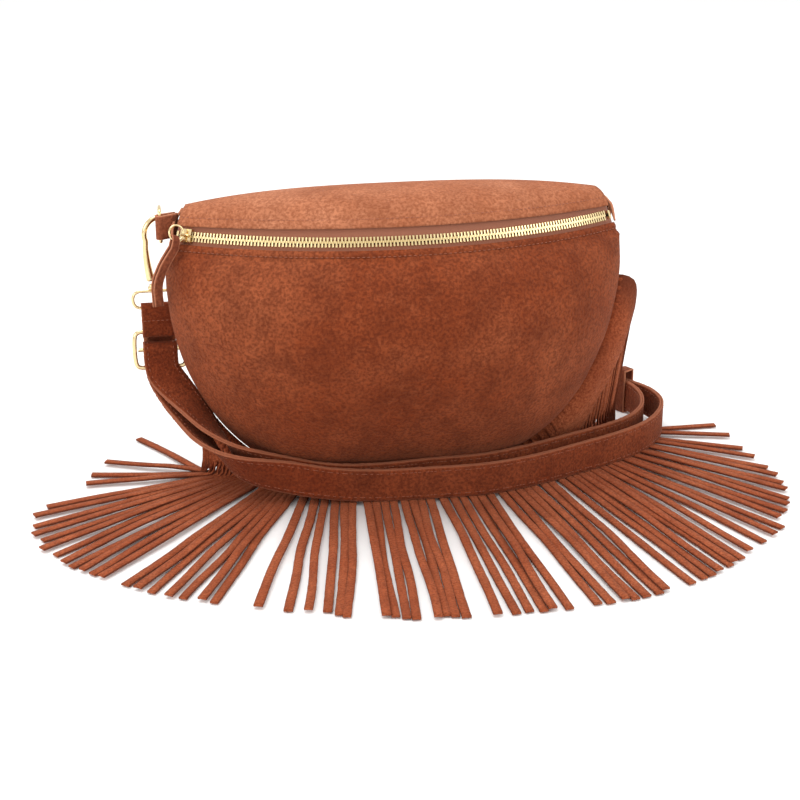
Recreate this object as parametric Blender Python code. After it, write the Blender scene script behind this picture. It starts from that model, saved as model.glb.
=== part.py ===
"""Fringed suede half-moon bag with a doubled shoulder strap.

Frame: origin on the floor at the middle of the base, +X to the bag's right end,
-Y to its front, +Z up. Metres.
"""
import math
import bpy
import numpy as np

# Driving dimensions
HALF_W = 0.1545            # half width of the bag at its widest
ZIP_END = (0.1500, 0.012, 0.1825)
ZIP_MID = (-0.040, 0.186)  # y, z of the zip at the middle
RIDGE_Y = 0.030            # top edge of the back
RIDGE_Z = (0.2060, 0.1980)  # its height at the middle and at the ends
SKIN = 0.0016              # suede thickness
STRAP_W = 0.023
STRAP_T = 0.003
FRINGE_T = 0.0013
STRIPS = 66
STRIP_W = 0.0056
FRINGE_SPAN = (-0.150, 0.237)  # reach along the side seam from its lowest point
GAP = 0.0004
TAPE_TILT = math.radians(25)
HOOK_WIRE = 0.0018
RING_WIRE = 0.0012

COLOURS = {
    "suede": ((0.36, 0.115, 0.050, 1), 0.95, 0.0),
    "suede_dark": ((0.22, 0.065, 0.032, 1), 0.95, 0.0),
    "lining": ((0.13, 0.060, 0.040, 1), 0.85, 0.0),
    "tape": ((0.34, 0.125, 0.065, 1), 0.85, 0.0),
    "gold": ((0.83, 0.62, 0.30, 1), 0.25, 1.0),
    "steel": ((0.62, 0.62, 0.60, 1), 0.35, 1.0),
}


def collection():
    for ob in list(bpy.data.objects):
        bpy.data.objects.remove(ob, do_unlink=True)
    col = bpy.data.collections.new("fringed_suede_bag")
    bpy.context.scene.collection.children.link(col)
    return col


def vec(*v):
    return np.array(v, float)


def unit(v):
    return np.asarray(v, float) / np.linalg.norm(v)


def add(name, verts, faces, colour, smooth=True):
    """One closed body with its own material, faces turned outward."""
    me = bpy.data.meshes.new(name)
    me.from_pydata([tuple(map(float, v)) for v in verts], [], faces)
    vol = 0.0
    for f in faces:
        a = np.asarray(verts[f[0]])
        for i in range(1, len(f) - 1):
            vol += float(np.dot(a, np.cross(verts[f[i]], verts[f[i + 1]])))
    if vol < 0:
        me.flip_normals()
    me.update()
    for p in me.polygons:
        p.use_smooth = smooth
    rgba, rough, metal = COLOURS[colour]
    mat = bpy.data.materials.new(name + "_" + colour)
    mat.use_nodes = True
    bsdf = mat.node_tree.nodes["Principled BSDF"]
    bsdf.inputs["Base Color"].default_value = rgba
    bsdf.inputs["Roughness"].default_value = rough
    bsdf.inputs["Metallic"].default_value = metal
    me.materials.append(mat)
    ob = bpy.data.objects.new(name, me)
    COL.objects.link(ob)
    return ob


def shell(name, grid, thick, colour):
    """Sheet given as rows of points, thickened to both sides of its middle."""
    g = np.asarray(grid, float)
    n, m = g.shape[:2]
    nrm = np.cross(np.gradient(g, axis=0), np.gradient(g, axis=1))
    nrm /= np.linalg.norm(nrm, axis=2, keepdims=True)
    verts = np.concatenate([(g + nrm * thick / 2).reshape(-1, 3),
                            (g - nrm * thick / 2).reshape(-1, 3)])
    k = n * m
    faces = []
    for i in range(n - 1):
        for j in range(m - 1):
            a, b, c, d = i * m + j, i * m + j + 1, (i + 1) * m + j + 1, (i + 1) * m + j
            faces += [(d, c, b, a), (k + a, k + b, k + c, k + d)]
    rim = [j for j in range(m)] + [i * m + m - 1 for i in range(1, n)]
    rim += [(n - 1) * m + j for j in range(m - 2, -1, -1)] + [i * m for i in range(n - 2, 0, -1)]
    for a, b in zip(rim, rim[1:] + rim[:1]):
        faces.append((a, b, k + b, k + a))
    return add(name, verts, faces, colour)


def loft(name, loops, colour, closed=False, smooth=True):
    """Skin over equal loops of points; the ends are capped unless it closes on itself."""
    n, m = len(loops), len(loops[0])
    verts = [p for lp in loops for p in lp]
    faces = []
    for i in range(n if closed else n - 1):
        for j in range(m):
            a, b = i * m + j, i * m + (j + 1) % m
            k = ((i + 1) % n) * m
            faces.append((a, b, k + (j + 1) % m, k + j))
    if not closed:
        faces += [tuple(range(m))[::-1], tuple((n - 1) * m + j for j in range(m))]
    return add(name, verts, faces, colour, smooth)


def tube(name, path, r, colour, sides=8, closed=False):
    """Round wire along a path; r is one radius or one for each point."""
    p = np.asarray(path, float)
    n = len(p)
    rad = np.full(n, r) if np.isscalar(r) else np.asarray(r)
    if closed:
        tan = np.roll(p, -1, 0) - np.roll(p, 1, 0)
    else:
        tan = np.gradient(p, axis=0)
    tan /= np.linalg.norm(tan, axis=1, keepdims=True)
    up = unit(np.cross(tan[0], tan[n // 3]) if np.linalg.norm(np.cross(tan[0], tan[n // 3])) > 0.05
              else np.cross(tan[0], [0.3, 0.5, 0.8]))
    loops = []
    for i in range(n):
        up = unit(up - tan[i] * np.dot(up, tan[i]))
        side = np.cross(tan[i], up)
        loops.append([p[i] + rad[i] * (math.cos(a) * up + math.sin(a) * side)
                      for a in np.arange(sides) * 2 * math.pi / sides])
    return loft(name, loops, colour, closed)


def band_loops(mid, wide, width, thick):
    """Cross-sections of a flat strap: centres, width directions, width and thickness."""
    mid, wide = np.asarray(mid, float), np.asarray(wide, float)
    tan = np.gradient(mid, axis=0)
    tan /= np.linalg.norm(tan, axis=1, keepdims=True)
    wide = wide - tan * np.sum(wide * tan, 1, keepdims=True)
    wide /= np.linalg.norm(wide, axis=1, keepdims=True)
    nrm = np.cross(tan, wide)
    a, b = wide * width / 2, nrm * thick / 2
    return [[c + x + y, c - x + y, c - x - y, c + x - y] for c, x, y in zip(mid, a, b)]


def spline(points, per=4):
    """Catmull-Rom curve through the given points, every value carried along."""
    p = np.asarray(points, float)
    q = np.vstack([2 * p[0] - p[1], p, 2 * p[-1] - p[-2]])
    out = []
    for i in range(len(p) - 1):
        a, b, c, d = q[i:i + 4]
        for t in np.arange(per) / per:
            out.append(0.5 * (2 * b + (c - a) * t + (2 * a - 5 * b + 4 * c - d) * t ** 2
                              + (3 * b - a - 3 * c + d) * t ** 3))
    return np.array(out + [p[-1]])


def at_length(curve, s):
    """Points of a polyline at the given shares of its length."""
    seg = np.linalg.norm(np.diff(curve, axis=0), axis=1)
    run = np.concatenate([[0], np.cumsum(seg)]) / seg.sum()
    return np.stack([np.interp(s, run, curve[:, k]) for k in range(3)], -1)


# The zip lies on an arc, so its slider turns about one axis
ZIP_FRONT = vec(0, *ZIP_MID)
ZIP_CHORD = vec(0, *ZIP_END[1:])
ZIP_SAG = np.linalg.norm(ZIP_CHORD - ZIP_FRONT)
ZIP_R = (ZIP_END[0] ** 2 + ZIP_SAG ** 2) / (2 * ZIP_SAG)
ZIP_IN = unit(ZIP_CHORD - ZIP_FRONT)         # from the middle of the zip to its centre
ZIP_C = ZIP_FRONT + ZIP_R * ZIP_IN
ZIP_AX = np.cross(vec(1, 0, 0), ZIP_IN)      # points up
ZIP_HALF = math.asin(ZIP_END[0] / ZIP_R)


def zip_frame(angle):
    """Point on the zip line, and its inward, up and along directions."""
    inward = ZIP_IN * math.cos(angle) - vec(1, 0, 0) * math.sin(angle)
    along = vec(1, 0, 0) * math.cos(angle) + ZIP_IN * math.sin(angle)
    return ZIP_C - ZIP_R * inward, inward, ZIP_AX, along


def tape_dir(inward, up):
    """Direction up the tape and the direction out of its face."""
    d = inward * math.sin(TAPE_TILT) + up * math.cos(TAPE_TILT)
    out = -inward * math.cos(TAPE_TILT) + up * math.sin(TAPE_TILT)
    return d, out


def seam_curve():
    """The D-shaped side seam from the left corner under the bag to the right corner."""
    half = [(0, 0.012, 0.0040), (0.030, 0.012, 0.0040), (0.056, 0.012, 0.0060),
            (0.081, 0.012, 0.0140), (0.105, 0.012, 0.0300), (0.126, 0.012, 0.0540),
            (0.142, 0.012, 0.0840), (0.151, 0.012, 0.1140), (HALF_W, 0.012, 0.1430),
            (0.1540, 0.012, 0.1630), (0.1515, 0.012, 0.1780)]
    left = [(-x, y, z) for x, y, z in half[:0:-1]]
    return spline(left + half, 4)


def bezier(p0, p1, p2, p3, t):
    t = np.asarray(t)[:, None]
    return ((1 - t) ** 3 * p0 + 3 * (1 - t) ** 2 * t * p1
            + 3 * (1 - t) * t ** 2 * p2 + t ** 3 * p3)


def ridge_point(u):
    z = RIDGE_Z[0] + (RIDGE_Z[1] - RIDGE_Z[0]) * abs(u) ** 3
    return vec(0.144 * u, RIDGE_Y - 0.006 * u * u, z)


def seam_out(u):
    """Direction away from the bag, square to the side seam, in the seam's plane."""
    s = (u + 1) / 2
    a, b = at_length(SEAM, np.array([max(s - 0.01, 0), min(s + 0.01, 1)]))
    t = unit(b - a)
    return vec(t[2], 0, -t[0])


def front_column(u, rows):
    """One line of the front panel from its folded edge below the zip to the seam."""
    p, inward, up, along = zip_frame(u * ZIP_HALF)
    d, out = tape_dir(inward, up)
    lift = 0.0004 + GAP + SKIN / 2
    a = p - d * 0.0060 + out * lift
    b = p - d * 0.0135 + out * lift
    end = at_length(SEAM, np.array([(u + 1) / 2]))[0] + vec(0, -0.0012, 0)
    size = np.linalg.norm(end - b)
    side = unit(vec(0, 1, 0) + 0.05 * seam_out(u))
    lean = unit(-d + 0.30 * out + vec(0.55 * u * abs(u), 0, 0))
    t = np.linspace(0, 1, rows - 1)
    curve = bezier(b, b + lean * 0.42 * size, end - side * (0.17 + 0.12 * abs(u)) * size, end, t)
    return np.vstack([a, curve])


def back_column(u, rows):
    """One line of the back panel from the seam up to the ridge."""
    start = at_length(SEAM, np.array([(u + 1) / 2]))[0] + vec(0, 0.0012, 0)
    end = ridge_point(u) + vec(0, 0.0004, -0.0012)
    size = np.linalg.norm(end - start)
    rise = unit(vec(0.25 * u, 0.22, -1))
    return bezier(start, start + vec(0, 0.17 * size, 0), end + rise * 0.42 * size, end,
                  np.linspace(0, 1, rows))


def top_column(u, rows):
    """One line of the top panel from the ridge forward to its edge above the zip."""
    p, inward, up, along = zip_frame(u * ZIP_HALF)
    d, out = tape_dir(inward, up)
    lift = 0.0004 + GAP + SKIN / 2
    rim = 0.0060 + 0.0030 * (1 - abs(u) ** 2)
    a = p + d * rim + out * lift
    b = p + d * (rim + 0.0060) + out * lift
    start = ridge_point(u) + vec(0, -0.0012, 0.0004)
    size = np.linalg.norm(b - start)
    curve = bezier(start, start + unit(vec(0, -1, 0.22)) * 0.33 * size, b + d * 0.33 * size, b,
                   np.linspace(0, 1, rows - 1))
    return np.vstack([curve, a])


def panels():
    us = np.linspace(-0.972, 0.972, 31)
    shell("front_panel", [front_column(u, 12) for u in us], SKIN, "suede")
    shell("back_panel", [back_column(u, 9) for u in us], SKIN, "suede")
    shell("top_panel", [top_column(u, 7) for u in us], SKIN, "suede")


def lining():
    """Bag lining: a pocket closed all round but for its mouth under the zip."""
    rows = []
    for u in np.linspace(-0.90, 0.90, 21):
        front, back, top = front_column(u, 9), back_column(u, 8), top_column(u, 6)
        rows.append(np.vstack([front[:-1], (front[-1] + back[0]) / 2, back[1:-1],
                               (back[-1] + top[0]) / 2, top[1:]]))
    rows = np.array(rows)
    out = np.cross(np.gradient(rows, axis=0), np.gradient(rows, axis=1))
    out /= np.linalg.norm(out, axis=2, keepdims=True)
    if out[10, 4, 1] > 0:
        out = -out
    rows = rows - out * 0.0050
    for k in (0, -1):
        mid = rows[k].mean(axis=0)
        rows[k] = mid + (rows[k] - mid) * 0.15
    shell("lining", rows, 0.0006, "lining")


def zip_strip(name, section, colour, half=None, steps=30):
    """A constant section swept along the zip's arc; (v, w) runs up and out of the tape."""
    half = ZIP_HALF * 0.975 if half is None else half
    loops = []
    for a in np.linspace(-half, half, steps + 1):
        p, inward, up, along = zip_frame(a)
        d, out = tape_dir(inward, up)
        loops.append([p + d * v + out * w for v, w in section])
    return loft(name, loops, colour, smooth=False)


def zip_block(name, angle, span, section, colour):
    loops = []
    for a in np.linspace(angle - span, angle + span, 4):
        p, inward, up, along = zip_frame(a)
        d, out = tape_dir(inward, up)
        loops.append([p + d * v + out * w for v, w in section])
    return loft(name, loops, colour, smooth=False)


def zipper():
    tape = 0.0004
    for name, s, wide in (("zip_tape_lower", -1, 0.0120), ("zip_tape_upper", 1, 0.0125)):
        zip_strip(name, [(s * 0.0012, -tape), (s * wide, -tape), (s * wide, tape),
                         (s * 0.0012, tape)], "tape")
    for name, s in (("zip_teeth_lower", -1), ("zip_teeth_upper", 1)):
        zip_strip(name, [(s * 0.0003, tape + 0.0002), (s * 0.0028, tape + 0.0002),
                         (s * 0.0028, tape + 0.0014), (s * 0.0003, tape + 0.0018)],
                  "gold", ZIP_HALF * 0.940)
    zip_block("zip_stop_right", ZIP_HALF * 0.958, 0.0040,
              [(-0.0028, 0.0007), (0.0028, 0.0007), (0.0028, 0.0026), (-0.0028, 0.0026)], "gold")
    zip_block("zip_stop_left", -ZIP_HALF * 0.962, 0.0030,
              [(-0.0028, 0.0007), (0.0028, 0.0007), (0.0028, 0.0026), (-0.0028, 0.0026)], "gold")


def slider():
    """Zip slider: a channel over the teeth with a bridge for the pull."""
    angle = -ZIP_HALF * 0.920
    sec = [(-0.0044, 0.0008), (-0.0032, 0.0008), (-0.0032, 0.0028), (0.0032, 0.0028),
           (0.0032, 0.0008), (0.0044, 0.0008), (0.0044, 0.0040), (0.0010, 0.0040),
           (-0.0010, 0.0040), (-0.0044, 0.0040)]
    zip_block("zip_slider", angle, 0.0165, sec, "gold")
    p, inward, up, along = zip_frame(angle)
    d, out = tape_dir(inward, up)
    base = p + out * 0.0044
    hoop = [base - along * 0.0030 * math.cos(t) + out * 0.0038 * math.sin(t)
            for t in np.linspace(0, math.pi, 9)]
    tube("pull_bridge", hoop, 0.0006, "gold", 6)
    return p, d, out, along


def pull(p, d, out, along):
    """Ring through the bridge, and the suede thong folded through the ring."""
    a, r = unit(0.8 * out - 0.6 * along), 0.0049
    c = p + out * 0.0064 + a * r
    ring = [c + r * (a * math.cos(t) + d * math.sin(t))
            for t in np.arange(20) * math.pi / 10]
    tube("pull_ring", ring, 0.0007, "gold", 6, closed=True)
    low = c - d * r
    wide = unit(a * vec(1, 1, 0))
    f = vec(wide[1], -wide[0], 0)
    turn = [low + 0.0028 * (math.cos(t) * f + vec(0, 0, math.sin(t)))
            for t in np.linspace(-0.1, math.pi + 0.1, 9)]
    end = vec(-0.1615, -0.0010, 0.1390)
    hang = vec(-0.1575, -0.0055, 0.1660)
    near = low + vec(-0.0012, -0.0006, -0.0050)
    one = [end + f * 0.0034 + vec(0, 0, -0.002), end + f * 0.0030 + vec(0, 0, 0.014),
           hang + f * 0.0026, near + f * 0.0026]
    two = [near - f * 0.0026, hang - f * 0.0022, end - f * 0.0022 + vec(0, 0, 0.014),
           end - f * 0.0026]
    path = np.array(one + turn + two)
    size = 0.0039 + 0.0017 * np.clip(2 * np.abs(np.linspace(-1, 1, len(path))), 0, 1)
    loops = []
    side = [wide] * len(one) + [a] * len(turn) + [wide] * len(two)
    for q, t, b, h in zip(path, np.gradient(path, axis=0), side, size):
        w = unit(b - unit(t) * np.dot(b, unit(t))) * h / 2
        m = unit(np.cross(t, w)) * 0.00055
        loops.append([q + w + m, q - w + m, q - w - m, q + w - m])
    loft("pull_thong", loops, "suede_dark", smooth=False)


def corner_tab(name, root, bar, tall):
    """Suede strip folded round the bar of the D-ring and sewn into the bag's corner."""
    root, bar = vec(*root), vec(*bar)
    go = unit(bar - root)
    side = vec(-go[1], go[0], 0)
    r = RING_WIRE + GAP + 0.0008
    turn = [bar + r * (math.sin(t) * go + math.cos(t) * side)
            for t in np.linspace(0, math.pi, 9)]
    path = [root + side * r * 0.75, (root + bar) / 2 + side * r * 0.85] + turn
    path += [(root + bar) / 2 - side * r * 0.85, root - side * r * 0.75]
    loops = band_loops(path, [vec(0, 0, 1)] * len(path), tall, 0.0014)
    loft(name, loops, "suede_dark", smooth=False)


def corner_patch(name, sign):
    """Three-cornered suede patch that closes the end of the bag between its panels."""
    u = 0.972 * sign
    tri = np.array([front_column(u, 12)[0], top_column(u, 7)[0], back_column(u, 9)[0]])
    mid = tri.mean(axis=0)
    out = unit(np.cross(tri[1] - tri[0], tri[2] - tri[0]))
    out = out * math.copysign(1, out[0] * sign)
    ring = []
    for k in range(3):
        p, a, b = tri[k], tri[k - 1], tri[(k + 1) % 3]
        ring += [p + (a - p) * 0.16, p + (mid - p) * 0.06, p + (b - p) * 0.16]
    ring = [mid + (q - mid) * 1.12 for q in ring]
    loops = [[q + out * h for q in ring] for h in (0.0016, 0.0030)]
    loft(name, loops, "suede_dark", smooth=False)


def d_ring(name, bar, go, high, deep):
    """Ring with a straight upright bar and a round far side."""
    bar, go = vec(*bar), unit(vec(*go))
    up = vec(0, 0, 1)
    pts = [bar + up * high * k for k in (-0.85, -0.4, 0, 0.4, 0.85)]
    pts += [bar + go * deep * x + up * high * z for x, z in
            ((0.18, 1.0), (0.45, 0.98), (0.75, 0.80), (0.94, 0.45), (1.0, 0.0),
             (0.94, -0.45), (0.75, -0.80), (0.45, -0.98), (0.18, -1.0))]
    tube(name, pts, RING_WIRE, "gold", 8, closed=True)


def swivel_hook(side, pos, turn):
    """Swivel snap hook: bow and body in one, flat gate, its thumb knob, and the turning stud."""
    pos = vec(*pos)
    ex = vec(math.cos(turn), math.sin(turn), 0)
    ey = vec(-math.sin(turn), math.cos(turn), 0)
    ez = vec(0, 0, 1)

    def at(x, y, z):
        return pos + ex * x + ey * y + ez * z
    cx, cz, r = 0.0095, 0.0365, 0.0117
    arc = [at(cx + r * math.cos(t), 0, cz + r * math.sin(t))
           for t in np.linspace(math.radians(200), math.radians(-14), 19)]
    arm = [at(0.0006, 0, 0.0052), at(-0.0004, 0, 0.0105), at(-0.0014, 0, 0.0190),
           at(-0.0018, 0, 0.0270)]
    tube(side + "_hook_body", arm + arc, [0.0030, 0.0024] + [HOOK_WIRE] * 21, "gold", 10)
    nose, foot = (0.0200, 0.0305), (0.0050, 0.0062)
    go = unit(np.array(nose) - np.array(foot))
    nx, nz = -go[1], go[0]
    middle = ((foot[0] + nose[0]) / 2, (foot[1] + nose[1]) / 2)
    loops = []
    for (x, z), w in zip((foot, middle, nose), (0.0013, 0.0020, 0.0015)):
        loops.append([at(x + nx * a * w, b * 0.0011, z + nz * a * w) for a, b in
                      ((-1, -1), (1, -1), (1, 1), (-1, 1))])
    loft(side + "_hook_gate", loops, "gold", smooth=False)
    knob = [at(middle[0] - nx * t, 0, middle[1] - nz * t) for t in (0.0030, 0.0042, 0.0056, 0.0060)]
    tube(side + "_hook_thumb_knob", knob, [0.0013, 0.0013, 0.0021, 0.0012], "gold", 8)
    stud = [at(0.0006, 0, z) for z in (0.0019, 0.0012, 0.0004, -0.0010)]
    tube(side + "_swivel_stud", stud, [0.0014, 0.0014, 0.0024, 0.0024], "gold", 10)


def strap_ring(side, centre, along):
    """Oblong ring below the swivel; the strap folds over its lower bar."""
    c, a = vec(*centre), unit(vec(*along))
    up = vec(0, 0, 1)
    pts = [c + a * 0.0157 * x + up * 0.0058 * z for x, z in
           ((-0.75, 1), (-0.35, 1), (0, 1), (0.35, 1), (0.75, 1), (0.95, 0.7), (1.03, 0),
            (0.95, -0.7), (0.75, -1), (0.35, -1), (0, -1), (-0.35, -1), (-0.75, -1),
            (-0.95, -0.7), (-1.03, 0), (-0.95, 0.7))]
    tube(side + "_strap_ring", pts, 0.0011, "gold", 8, closed=True)


def link_tab(name, top, low, r_top, r_low, wide):
    """Closed suede loop joining two bars, pinched together and sewn between them."""
    top, low = vec(*top), vec(*low)
    along = unit(vec(*wide))
    f = vec(-along[1], along[0], 0)
    up = vec(0, 0, 1)
    path = [top + r_top * (math.cos(t) * f + math.sin(t) * up)
            for t in np.linspace(-0.2, math.pi + 0.2, 10)]
    drop = low[2] - top[2]
    path += [top - f * 0.0013 + up * drop * 0.40, top - f * 0.0013 + up * drop * 0.62]
    path += [low + r_low * (math.cos(t) * f + math.sin(t) * up)
             for t in np.linspace(math.pi - 0.2, 2 * math.pi + 0.2, 10)]
    path += [top + f * 0.0013 + up * drop * 0.62, top + f * 0.0013 + up * drop * 0.40]
    p = np.array(path)
    tan = np.roll(p, -1, 0) - np.roll(p, 1, 0)
    tan /= np.linalg.norm(tan, axis=1, keepdims=True)
    nrm = np.cross(tan, along)
    w, t = along * 0.0110, nrm * 0.0009
    loops = [[c + w + b, c - w + b, c - w - b, c + w - b] for c, b in zip(p, t)]
    loft(name, loops, "suede", closed=True, smooth=False)


BUCKLE = (-0.1612, 0.0290, 0.0975)     # middle of the buckle's centre bar
RING_L = (-0.1616, 0.0290, 0.1335)     # middle of the left strap ring
RING_R = (0.1560, 0.0500, 0.1215)


def buckle():
    """Buckle: rounded frame and the bar the strap turns over."""
    c = vec(*BUCKLE)
    up = unit(vec(0, 0.12, 1))
    pts = [c + vec(1, 0, 0) * 0.0168 * x + up * 0.0125 * z for x, z in
           ((-0.8, 1), (-0.3, 1), (0.3, 1), (0.8, 1), (0.97, 0.85), (1.03, 0.4), (1.03, -0.4),
            (0.97, -0.85), (0.8, -1), (0.3, -1), (-0.3, -1), (-0.8, -1), (-0.97, -0.85),
            (-1.03, -0.4), (-1.03, 0.4), (-0.97, 0.85))]
    tube("buckle_frame", pts, 0.0015, "gold", 8, closed=True)
    tube("buckle_bar", [c + vec(x, 0, 0) for x in (-0.0151, -0.0050, 0.0050, 0.0151)],
         0.0014, "gold", 8)


def strap_run():
    """The strap's middle line from the buckle to the right rear: centre, width side, spread."""
    c = vec(*BUCKLE)
    rows = [(0.0000, 0.0000, -0.0030, 1, 0, 0, 0.0040),
            (0.0002, -0.0008, -0.0100, 1, 0, 0, 0.0041),
            (0.0020, -0.0036, -0.0180, 1, 0.05, 0, 0.0042),
            (0.0075, -0.0110, -0.0280, 0.97, 0.20, -0.05, 0.0046),
            (0.0160, -0.0220, -0.0390, 0.85, 0.45, -0.2, 0.0048),
            (0.0277, -0.0360, -0.0529, 0.60, 0.60, -0.5, 0.0050),
            (0.0499, -0.0485, -0.0680, 0.25, 0.35, -0.9, 0.0046)]
    pts = [(*(c + vec(*r[:3])), *r[3:]) for r in rows]
    low = 0.0020 + STRAP_W / 2
    plan = [(-0.0800, -0.0275, 0.0038), (-0.0500, -0.0310, 0.0038), (-0.0200, -0.0310, 0.0054),
            (0.0200, -0.0308, 0.0076), (0.0550, -0.0300, 0.0080), (0.0900, -0.0210, 0.0084),
            (0.1250, -0.0068, 0.0084), (0.1560, 0.0065, 0.0080), (0.1790, 0.0205, 0.0076),
            (0.1940, 0.0380, 0.0072), (0.2015, 0.0560, 0.0070), (0.2020, 0.0750, 0.0050),
            (0.1960, 0.0930, 0.0019), (0.1890, 0.1040, 0.0019)]
    rise = [0.0080, 0.0025] + [0] * (len(plan) - 2)
    pts += [(x, y, low + z, 0, 0, -1, s) for (x, y, s), z in zip(plan, rise)]
    return spline(pts, 5)


def strap():
    """One long strap: it turns over the buckle bar and both runs go round to the right rear."""
    run = strap_run()
    mid, wide, spread = run[:, :3], run[:, 3:6], run[:, 6:7]
    tan = np.gradient(mid, axis=0)
    tan /= np.linalg.norm(tan, axis=1, keepdims=True)
    wide = wide - tan * np.sum(wide * tan, 1, keepdims=True)
    wide /= np.linalg.norm(wide, axis=1, keepdims=True)
    nrm = np.cross(tan, wide)
    inner, outer = mid + nrm * spread, mid - nrm * spread
    bar = vec(*BUCKLE)
    turn = [bar + vec(0, 0.0040 * math.cos(t), 0.0040 * math.sin(t))
            for t in np.linspace(0.25, math.pi - 0.25, 7)]
    low = 0.0020 + STRAP_W / 2
    tail = [(0.1800, 0.1160, low, 0, 0, -1), (0.1660, 0.1200, low + 0.002, 0, 0.05, -1),
            (0.1530, 0.1150, low + 0.008, 0, 0.15, -1), (0.1470, 0.1020, low + 0.020, 0, 0.4, -0.9),
            (0.1480, 0.0870, low + 0.034, 0.1, 0.7, -0.7), (0.1520, 0.0730, low + 0.048, 0.1, 1, -0.3),
            (0.1540, 0.0610, low + 0.062, 0, 1, 0), (0.1540, 0.0540, low + 0.077, 0, 1, 0),
            (0.1540, 0.0505, 0.1050, 0, 1, 0)]
    up = [(*a, *b) for a, b in zip(outer, wide)]
    tail = spline([up[-1]] + tail, 4)[1:]
    ring = vec(*RING_R) - vec(0, 0, 0.0058)
    over = [ring + vec(-math.cos(t), 0, math.sin(t)) * 0.0031
            for t in np.linspace(-0.1, math.pi + 0.2, 9)]
    back = [vec(0.15760, 0.0502, 0.1050), vec(0.15780, 0.0520, 0.0960)]
    path = [*inner[::-1], *turn[::-1], *outer, *tail[:, :3], *over, *back]
    y = vec(0, 1, 0)
    side = [*wide[::-1], *[vec(1, 0, 0)] * len(turn), *wide, *tail[:, 3:6],
            *[y] * (len(over) + len(back))]
    thick = np.full(len(path), STRAP_T)
    thick[-(len(over) + len(back)):] = 0.0016
    mid = np.array(path)
    tan = np.gradient(mid, axis=0)
    tan /= np.linalg.norm(tan, axis=1, keepdims=True)
    loops = []
    for c, t, w, h in zip(mid, tan, side, thick):
        w = unit(w - t * np.dot(w, t)) * STRAP_W / 2
        n = unit(np.cross(t, w)) * h / 2
        loops.append([c + w + n, c - w + n, c - w - n, c + w - n])
    loft("strap", loops, "suede", smooth=False)


def keeper():
    """Suede band round both runs of the strap where the inner run is sewn down."""
    run = strap_run()
    p, t = run[-4, :3], unit(run[-1, :3] - run[-7, :3])
    n = np.cross(t, vec(0, 0, -1))
    middle = p + vec(0, 0, 0.0030)

    def ring(a, b, s):
        return [middle + t * s + n * a * x + vec(0, 0, b * y)
                for x, y in ((-1, -1), (1, -1), (1, 1), (-1, 1))]
    half, inside, outside = 0.0045, (0.0038, 0.0160), (0.0049, 0.0171)
    loft("strap_keeper", [ring(*outside, -half), ring(*outside, half),
                          ring(*inside, half), ring(*inside, -half)],
         "suede_dark", closed=True, smooth=False)


# Where the strips lie: place along the seam, then the x and y of the strip's end
FAN = ((-0.150, -0.180, 0.100), (-0.142, -0.222, 0.060), (-0.132, -0.250, 0.015),
       (-0.120, -0.257, -0.035), (-0.107, -0.235, -0.085), (-0.093, -0.195, -0.125),
       (-0.077, -0.145, -0.157), (-0.050, -0.080, -0.183),
       (-0.020, -0.028, -0.197),
       (0.010, 0.013, -0.203), (0.050, 0.065, -0.204), (0.080, 0.108, -0.197),
       (0.110, 0.158, -0.180), (0.140, 0.206, -0.146), (0.170, 0.246, -0.094),
       (0.200, 0.264, -0.030), (0.237, 0.255, 0.050))


def fringe_line(run):
    """Middle line of one strip; run is its place along the side seam from the lowest point."""
    z0 = FRINGE_T / 2
    half = 0.5 * np.linalg.norm(np.diff(SEAM, axis=0), axis=1).sum()
    u = run / half
    root = at_length(SEAM, np.array([(u + 1) / 2]))[0]
    place = [f[0] for f in FAN]
    tip = vec(np.interp(run, place, [f[1] for f in FAN]),
              np.interp(run, place, [f[2] for f in FAN]), z0)
    high = root[2]
    start = vec(root[0], 0.012, max(high - 0.0040, 0) + z0)
    go = unit((tip - start) * vec(1, 1, 0))
    if high < 0.0170:
        foot = start + go * 0.021
        foot[2] = z0
        pts = [start, start + go * 0.005, start + go * 0.012 + vec(0, 0, -0.5 * (start[2] - z0)),
               foot]
        return pts + [foot + (tip - foot) * f for f in (0.2, 0.45, 0.72, 1.0)]
    back = 0.35 * max(0, high - 0.030)
    sx = math.copysign(1, run)
    ease = min(1, (high - 0.0110) / 0.020)
    if run > 0:
        off = 0.0070 * ease + 0.15 * max(0, high - 0.080)
    else:
        off = 0.0055 * ease
    ledge = 0.0030 + 0.0010 * ease
    knee = start + seam_out(u) * ledge
    set_back = 0.0 if run > 0 else 0.0070 * ease
    hip = vec(root[0] + sx * off, 0.0145 + 0.5 * back + set_back, 0.50 * high)
    shin = vec(root[0] + sx * off, 0.0150 + back + set_back, z0 + min(0.006, 0.2 * high))
    go = unit((tip - shin) * vec(1, 1, 0))
    foot = shin + go * 0.008
    foot[2] = z0
    turn = vec(root[0] + sx * off * 0.98, 0.0128 + 0.1 * back, max(start[2] - 0.0120, 0.6 * high))
    return [start, knee, turn, hip, shin, foot, foot + (tip - foot) * 0.5, tip]


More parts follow.
